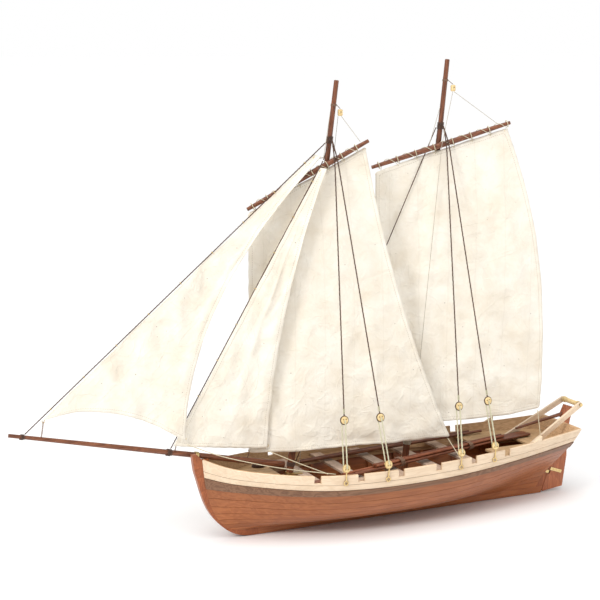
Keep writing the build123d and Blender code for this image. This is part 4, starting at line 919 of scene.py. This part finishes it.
# %% Routes from CAD rods
def separate_solids(node):
    """Return the points of each separate solid of a CAD part, as arrays."""
    work = bmesh.new()
    work.from_mesh(NODES[node].data)
    bmesh.ops.remove_doubles(work, verts=work.verts, dist=1e-6)
    solids, seen = [], set()
    for vert in work.verts:
        if vert in seen:
            continue
        stack, members = [vert], []
        seen.add(vert)
        while stack:
            point = stack.pop()
            members.append(tuple(point.co))
            for edge in point.link_edges:
                other = edge.other_vert(point)
                if other not in seen:
                    seen.add(other)
                    stack.append(other)
        solids.append(np.array(members))
    work.free()
    return solids


def middle_line(points, radius):
    """Return the points along the middle of a rod or bent tube."""
    centred = points - points.mean(axis=0)
    axis = np.linalg.svd(centred, full_matrices=False)[2][0]
    reach = centred @ axis
    order = np.argsort(reach)
    rings, ring = [], [order[0]]
    for index in order[1:]:
        if reach[index] - reach[ring[-1]] > radius * 0.7:
            rings.append(ring)
            ring = []
        ring.append(index)
    rings.append(ring)
    return [Vector(points[ring].mean(axis=0)) for ring in rings]


def even_route(points, step):
    """Return points a fixed step apart along the line through these."""
    lengths = [0.0]
    for a, b in zip(points, points[1:]):
        lengths.append(lengths[-1] + (b - a).length)
    count = max(2, int(lengths[-1] / step))
    route, segment = [], 0
    for i in range(count + 1):
        goal = lengths[-1] * i / count
        while segment < len(points) - 2 and lengths[segment + 1] < goal:
            segment += 1
        span = max(1e-9, lengths[segment + 1] - lengths[segment])
        route.append(points[segment].lerp(points[segment + 1], (goal - lengths[segment]) / span))
    return route


print("shroud rods:", len(separate_solids("shrouds")))

# %% [markdown]
# ## Twisting a rope
#
# A bevelled curve makes a smooth tube, which looks like wire.  Sweeping a ring with three
# lobes and turning it as it goes gives real strands that catch the light.  The ring's
# direction is carried from point to point, so the tube never flips at a bend.

# %% Twisting a rope
RINGS_PER_LOBE = 7


def rope_mesh(routes, diameter, lobes=3, sides=9, lay=3.4):
    """Return points and faces of three-stranded ropes along these routes."""
    verts, faces = [], []
    radius = diameter / 2
    step = diameter * lay / RINGS_PER_LOBE
    for points in routes:
        route = even_route(points, step)
        base = len(verts)
        side = Vector((0.31, 0.87, 0.12))
        for i, point in enumerate(route):
            ahead = route[min(i + 1, len(route) - 1)] - route[max(i - 1, 0)]
            ahead.normalize()
            side = (side - ahead * side.dot(ahead)).normalized()
            up = ahead.cross(side)
            turn = 2 * math.pi * i / RINGS_PER_LOBE / lobes
            for k in range(sides):
                angle = 2 * math.pi * k / sides
                lobe = 0.87 + 0.13 * math.cos(lobes * (angle - turn))
                verts.append(point + (side * math.cos(angle) + up * math.sin(angle))
                             * radius * lobe)
        for i in range(len(route) - 1):
            for k in range(sides):
                a = base + i * sides + k
                b = base + i * sides + (k + 1) % sides
                faces.append((a, b, b + sides, a + sides))
        faces.append(tuple(base + k for k in reversed(range(sides))))
        end = base + (len(route) - 1) * sides
        faces.append(tuple(end + k for k in range(sides)))
    return verts, faces


def make_piece(name, verts, faces, material, replaced=()):
    data = bpy.data.meshes.new(name)
    data.from_pydata([tuple(v) for v in verts], [], faces)
    data.update()
    piece = bpy.data.objects.new(name, data)
    bpy.context.scene.collection.objects.link(piece)
    for polygon in data.polygons:
        polygon.use_smooth = True
    paint(piece, material)
    if replaced:
        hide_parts(*replaced)
    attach(piece, "boat")
    return piece


def rope_piece(name, routes, diameter, material, slot, replaced=(), **shape):
    verts, faces = rope_mesh(routes, diameter, **shape)
    piece = make_piece(name, verts, faces, material, replaced)
    print(name, len(routes), "ropes,", len(faces), "faces")
    return piece


# %% [markdown]
# ## Standing and running rigging
#
# Shrouds and stays hold the masts up and are tarred, so they are dark and thick.  Lanyards,
# halyards and sheets are handled every day, so they are pale and thinner.  All of them keep
# the routes of their CAD rods.

# %% Ropes that follow their CAD rods
def laid_from(node, name, diameter, material, slot, **shape):
    routes = []
    for points in separate_solids(node):
        line = middle_line(points, diameter / 2)
        if len(line) > 1:
            routes.append(line)
    return rope_piece(name, routes, diameter, material, slot, (node,), **shape)


laid_from("shrouds", "shroud_ropes", 0.95 * MM, TARRED, "dark_cord")
laid_from("jib_stays", "jib_stay_ropes", 0.8 * MM, TARRED, "dark_cord")
laid_from("lanyards", "lanyard_ropes", 0.98 * MM, LANYARD, "light_cord", sides=7)
laid_from("halyards", "halyard_lines", 0.42 * MM, GREY_LINE, "light_cord", sides=6)
laid_from("sheets", "sheet_ropes", 0.65 * MM, CREAM, "light_cord", sides=8)

# %% [markdown]
# ## Turns round a spar
#
# Where a rope is made fast it goes round the spar several times.  Each CAD collar gives the
# place and the size; a helix of rope a little above the wood replaces it.

# %% Winding turns
def spar_axis(node):
    """Return a straight spar's middle point and direction."""
    points = np.array([v.co for v in NODES[node].data.vertices])
    centred = points - points.mean(axis=0)
    axis = Vector(np.linalg.svd(centred, full_matrices=False)[2][0]).normalized()
    return Vector(points.mean(axis=0)), axis if axis.z > 0 else -axis


def helix(centre, axis, radius, thickness, turns):
    side = axis.orthogonal().normalized()
    up = axis.cross(side)
    route = []
    steps = int(turns * 28)
    for i in range(steps + 1):
        angle = 2 * math.pi * turns * i / steps
        rise = (i / steps - 0.5) * turns * thickness * 1.04
        route.append(centre + axis * rise + (side * math.cos(angle) + up * math.sin(angle))
                     * (radius + thickness * 0.52))
    return route


def turns_from(node, spars, thickness, most=7):
    """Return each solid's points, with a helix round the nearest spar where it is a collar."""
    routes = []
    lines = [(spar, *spar_axis(spar)) for spar in spars]
    for points in separate_solids(node):
        centre = Vector(points.mean(axis=0))
        gaps = []
        for spar, at, axis in lines:
            foot = at + axis * (centre - at).dot(axis)
            gaps.append(((centre - foot).length, foot, axis))
        off, foot, axis = min(gaps, key=lambda item: item[0])
        distances = np.linalg.norm(np.cross(points - np.array(foot), np.array(axis)), axis=1)
        inner = float(distances.min())
        length = float(np.ptp((points - np.array(foot)) @ np.array(axis)))
        if off > 0.0006 or inner < 0.0005:
            routes.append((points, None))
            continue
        turns = max(2, min(most, int(length / thickness)))
        routes.append((points, helix(foot, axis, inner, thickness, turns)))
    return routes


collars = turns_from("rope_collars", ["foremast", "mainmast", "bowsprit"], 0.75 * MM)
rope_piece("collar_turns", [route for _, route in collars if route], 0.75 * MM, TARRED,
           "dark_cord", ("rope_collars",))
strops = turns_from("block_strops", ["foremast", "mainmast"], 0.5 * MM, most=3)
strop_routes = [route if route else middle_line(points, 0.45 * MM) for points, route in strops]
rope_piece("block_strop_ropes", strop_routes, 0.5 * MM, BROWN, "dark_cord", ("block_strops",))
belays = turns_from("belaying_turns", ["mainmast"], 0.45 * MM)
rope_piece("belayed_turns", [route for _, route in belays if route], 0.45 * MM, GREY_LINE,
           "light_cord", ("belaying_turns",))
stay = turns_from("main_stay", ["foremast"], 0.7 * MM, most=4)
stay_routes = [route if route else middle_line(points, 0.4 * MM) for points, route in stay]
rope_piece("main_stay_rope", stay_routes, 0.75 * MM, TARRED, "dark_cord", ("main_stay",))

# %% [markdown]
# ## Lacing along the yards
#
# The heads of the lug sails are laced to their yards with one thin line that spirals along
# the spar.  The CAD ties mark where it is knotted.  Between them the line runs round the
# yard, and it dips through the sail's head at each tie.

# %% Lacing
def lacing(yard):
    at, axis = spar_axis(yard)
    if axis.x < 0:
        axis = -axis
    ties = []
    for points in separate_solids("robands"):
        centre = Vector(points.mean(axis=0))
        foot = at + axis * (centre - at).dot(axis)
        if (centre - foot).length < 0.0008:
            ties.append((foot - at).dot(axis))
    ties.sort()
    down = Vector((0, 0, -1))
    down = (down - axis * down.dot(axis)).normalized()
    side = axis.cross(down)
    radius = 2.35 * MM
    route = []
    for a, b in zip(ties, ties[1:]):
        for k in range(24):
            share = k / 24
            angle = 2 * math.pi * share
            dip = 1.0 + 0.85 * max(0.0, math.cos(angle))**6
            point = at + axis * (a + (b - a) * share)
            route.append(point + (down * math.cos(angle) * dip + side * math.sin(angle)) * radius)
    return route


rope_piece("head_lacings", [lacing("fore_yard"), lacing("main_yard")], 0.42 * MM, CREAM,
           "light_cord", sides=7)

# %% [markdown]
# ## Loops round the deadeyes
#
# Each upper deadeye sits in the end of its shroud, which goes round it and is seized to
# itself above with pale twine.  Each lower one sits in a ring of brass wire.

# %% Deadeye loops and seizings
def ring(centre, axis, radius, count=40):
    side = axis.orthogonal().normalized()
    up = axis.cross(side)
    return [centre + (side * math.cos(a) + up * math.sin(a)) * radius
            for a in np.linspace(0, 2 * math.pi, count)]


def disc_axis(points):
    centred = points - points.mean(axis=0)
    return Vector(np.linalg.svd(centred, full_matrices=False)[2][2]).normalized()


shroud_lines = [middle_line(points, 0.4 * MM) for points in separate_solids("shrouds")]
loops, seizings = [], []
for points in separate_solids("upper_deadeyes"):
    centre = Vector(points.mean(axis=0))
    loops.append(ring(centre, disc_axis(points), 2.78 * MM))
    ends = [(line[0], line[1]) for line in shroud_lines]
    ends += [(line[-1], line[-2]) for line in shroud_lines]
    near, above = min(ends, key=lambda pair: (pair[0] - centre).length)
    up = (above - near).normalized()
    seizings.append(helix(near + up * 3.2 * MM, up, 0.42 * MM, 0.36 * MM, 9))
rope_piece("deadeye_loops", loops, 0.78 * MM, TARRED, "dark_cord", sides=8)
rope_piece("shroud_seizings", seizings, 0.34 * MM, LANYARD, "light_cord", sides=6)
wire = [ring(Vector(points.mean(axis=0)), disc_axis(points), 2.72 * MM)
        for points in separate_solids("lower_deadeyes")]
rope_piece("deadeye_wires", wire, 0.42 * MM, BRASS, "brass", lobes=1, sides=8, lay=9)

# %% [markdown]
# ## Corners of the sails
#
# A sail's pull goes through its corners, so each has a brass ring sewn in, and the front ones
# are tied to a spar with two short strands of twine.  The corners are read from the CAD
# sails, and each tie goes to the nearest point of the spar.

# %% Corner rings and lashings
def nearest_on(node, place):
    points = [v.co for v in NODES[node].data.vertices]
    return min(points, key=lambda p: (p - place).length).copy()


def sail_corner(node, right, up):
    cloth = Cloth(node)
    x, z = cloth.corner(right, up)
    inwards = (np.array((cloth.centre.x, cloth.centre.z)) - (x, z))
    inwards /= np.linalg.norm(inwards)
    spot = np.array((x, z)) + inwards * 1.9 * MM
    depth = cloth.depth(*spot)
    return Vector((spot[0], cloth.centre.y if depth is None else depth, spot[1]))


TIED = [("outer_jib", (-1, -0.2), "bowsprit"), ("outer_jib", (-0.12, 1), "foremast"),
        ("inner_jib", (-1, -0.2), "bowsprit"), ("inner_jib", (-0.12, 1), "foremast"),
        ("foresail", (-1, -1), "bowsprit"), ("mainsail", (-1, -1), "mainmast")]
LOOSE_CORNERS = [("outer_jib", (0.6, -1)), ("inner_jib", (0.6, -1)), ("foresail", (1, -0.9)),
                 ("mainsail", (1, -0.9)), ("foresail", (0.25, 1)), ("mainsail", (0.25, 1)),
                 ("foresail", (-1, 0.5)), ("mainsail", (-1, 0.5))]
across = Vector((0, 1, 0))
rings, ties = [], []
for node, direction, spar in TIED:
    corner = sail_corner(node, *direction)
    rings.append(ring(corner, across, 0.95 * MM, 24))
    end = nearest_on(spar, corner)
    sag = Vector((0, -0.25 * MM, -0.15 * MM))
    for shift in (-0.25, 0.25):
        step = Vector((shift * MM, 0, 0))
        ties.append([corner + step, corner.lerp(end, 0.5) + step + sag, end + step])
    print(node, direction, "corner to", spar, round((end - corner).length / MM, 1), "mm")
for node, direction in LOOSE_CORNERS:
    rings.append(ring(sail_corner(node, *direction), across, 0.95 * MM, 24))
rope_piece("corner_rings", rings, 0.42 * MM, BRASS, "brass", lobes=1, sides=8, lay=9)
rope_piece("corner_ties", ties, 0.42 * MM, BROWN, "dark_cord", sides=7)

# %% [markdown]
# ## Coils in the bow
#
# Spare rope lies in the bow in flat coils.  A plain ring would look like a washer, so each
# coil is one long rope: it shrinks and wanders a little from turn to turn, and climbs to a
# second layer half way.

# %% Rope coils
def loose_coil(points, seed):
    low, high = points.min(axis=0), points.max(axis=0)
    centre = Vector((low + high) / 2)
    outside = (high[0] - low[0]) / 2
    thick = 1.05 * MM
    random.seed(seed)
    phase = random.random() * 6
    route = []
    turns = 7
    for i in range(turns * 30 + 1):
        angle = 2 * math.pi * i / 30
        turn = i / 30
        layer = 0 if turn < 4 else 1
        inner = (turn if layer == 0 else 7.6 - turn) * thick * 0.86
        wander = 1 + 0.05 * math.sin(angle * 0.37 + phase)
        reach = (outside - thick * 0.6 - inner) * wander
        height = low[2] + thick * (0.55 + 0.85 * layer) + 0.1 * MM * math.sin(angle * 1.7)
        route.append(Vector((centre.x + reach * math.cos(angle),
                             centre.y + reach * math.sin(angle) * 0.92, height)))
    return route


coils = [loose_coil(points, 5 + i) for i, points in enumerate(separate_solids("rope_coils"))]
rope_piece("rope_coil_turns", coils, 1.0 * MM, TARRED, "dark_cord", ("rope_coils",))


# %% [markdown]
# ## Lashings of the oars
#
# The oars are tied in a bundle with several turns of twine.  A bundle isn't round, so the
# turns follow a box with rounded corners that is as wide and as high as the CAD band.

# %% Oar lashings
def lashing(points, turns, thickness):
    centre = Vector(points.mean(axis=0))
    centred = points - points.mean(axis=0)
    oars = np.array([v.co for v in NODES["oars"].data.vertices])
    along = Vector(np.linalg.svd(oars - oars.mean(axis=0), full_matrices=False)[2][0])
    along.normalize()
    side = along.cross(Vector((0, 0, 1))).normalized()
    up = side.cross(along).normalized()
    width = float(np.abs(centred @ np.array(side)).max()) - thickness * 0.9
    height = float(np.abs(centred @ np.array(up)).max()) - thickness * 0.9
    route = []
    for i in range(turns * 32 + 1):
        angle = 2 * math.pi * i / 32
        c, s = math.cos(angle), math.sin(angle)
        box_c = math.copysign(abs(c)**0.55, c)
        box_s = math.copysign(abs(s)**0.55, s)
        shift = (i / 32 - turns / 2) * thickness * 1.12
        route.append(centre + along * shift + side * width * box_c + up * height * box_s)
    return route


bands = separate_solids("oar_lashings")
rope_piece("oar_lashing_turns", [lashing(points, 5, 0.6 * MM) for points in bands], 0.6 * MM,
           BROWN, "light_cord", ("oar_lashings",))
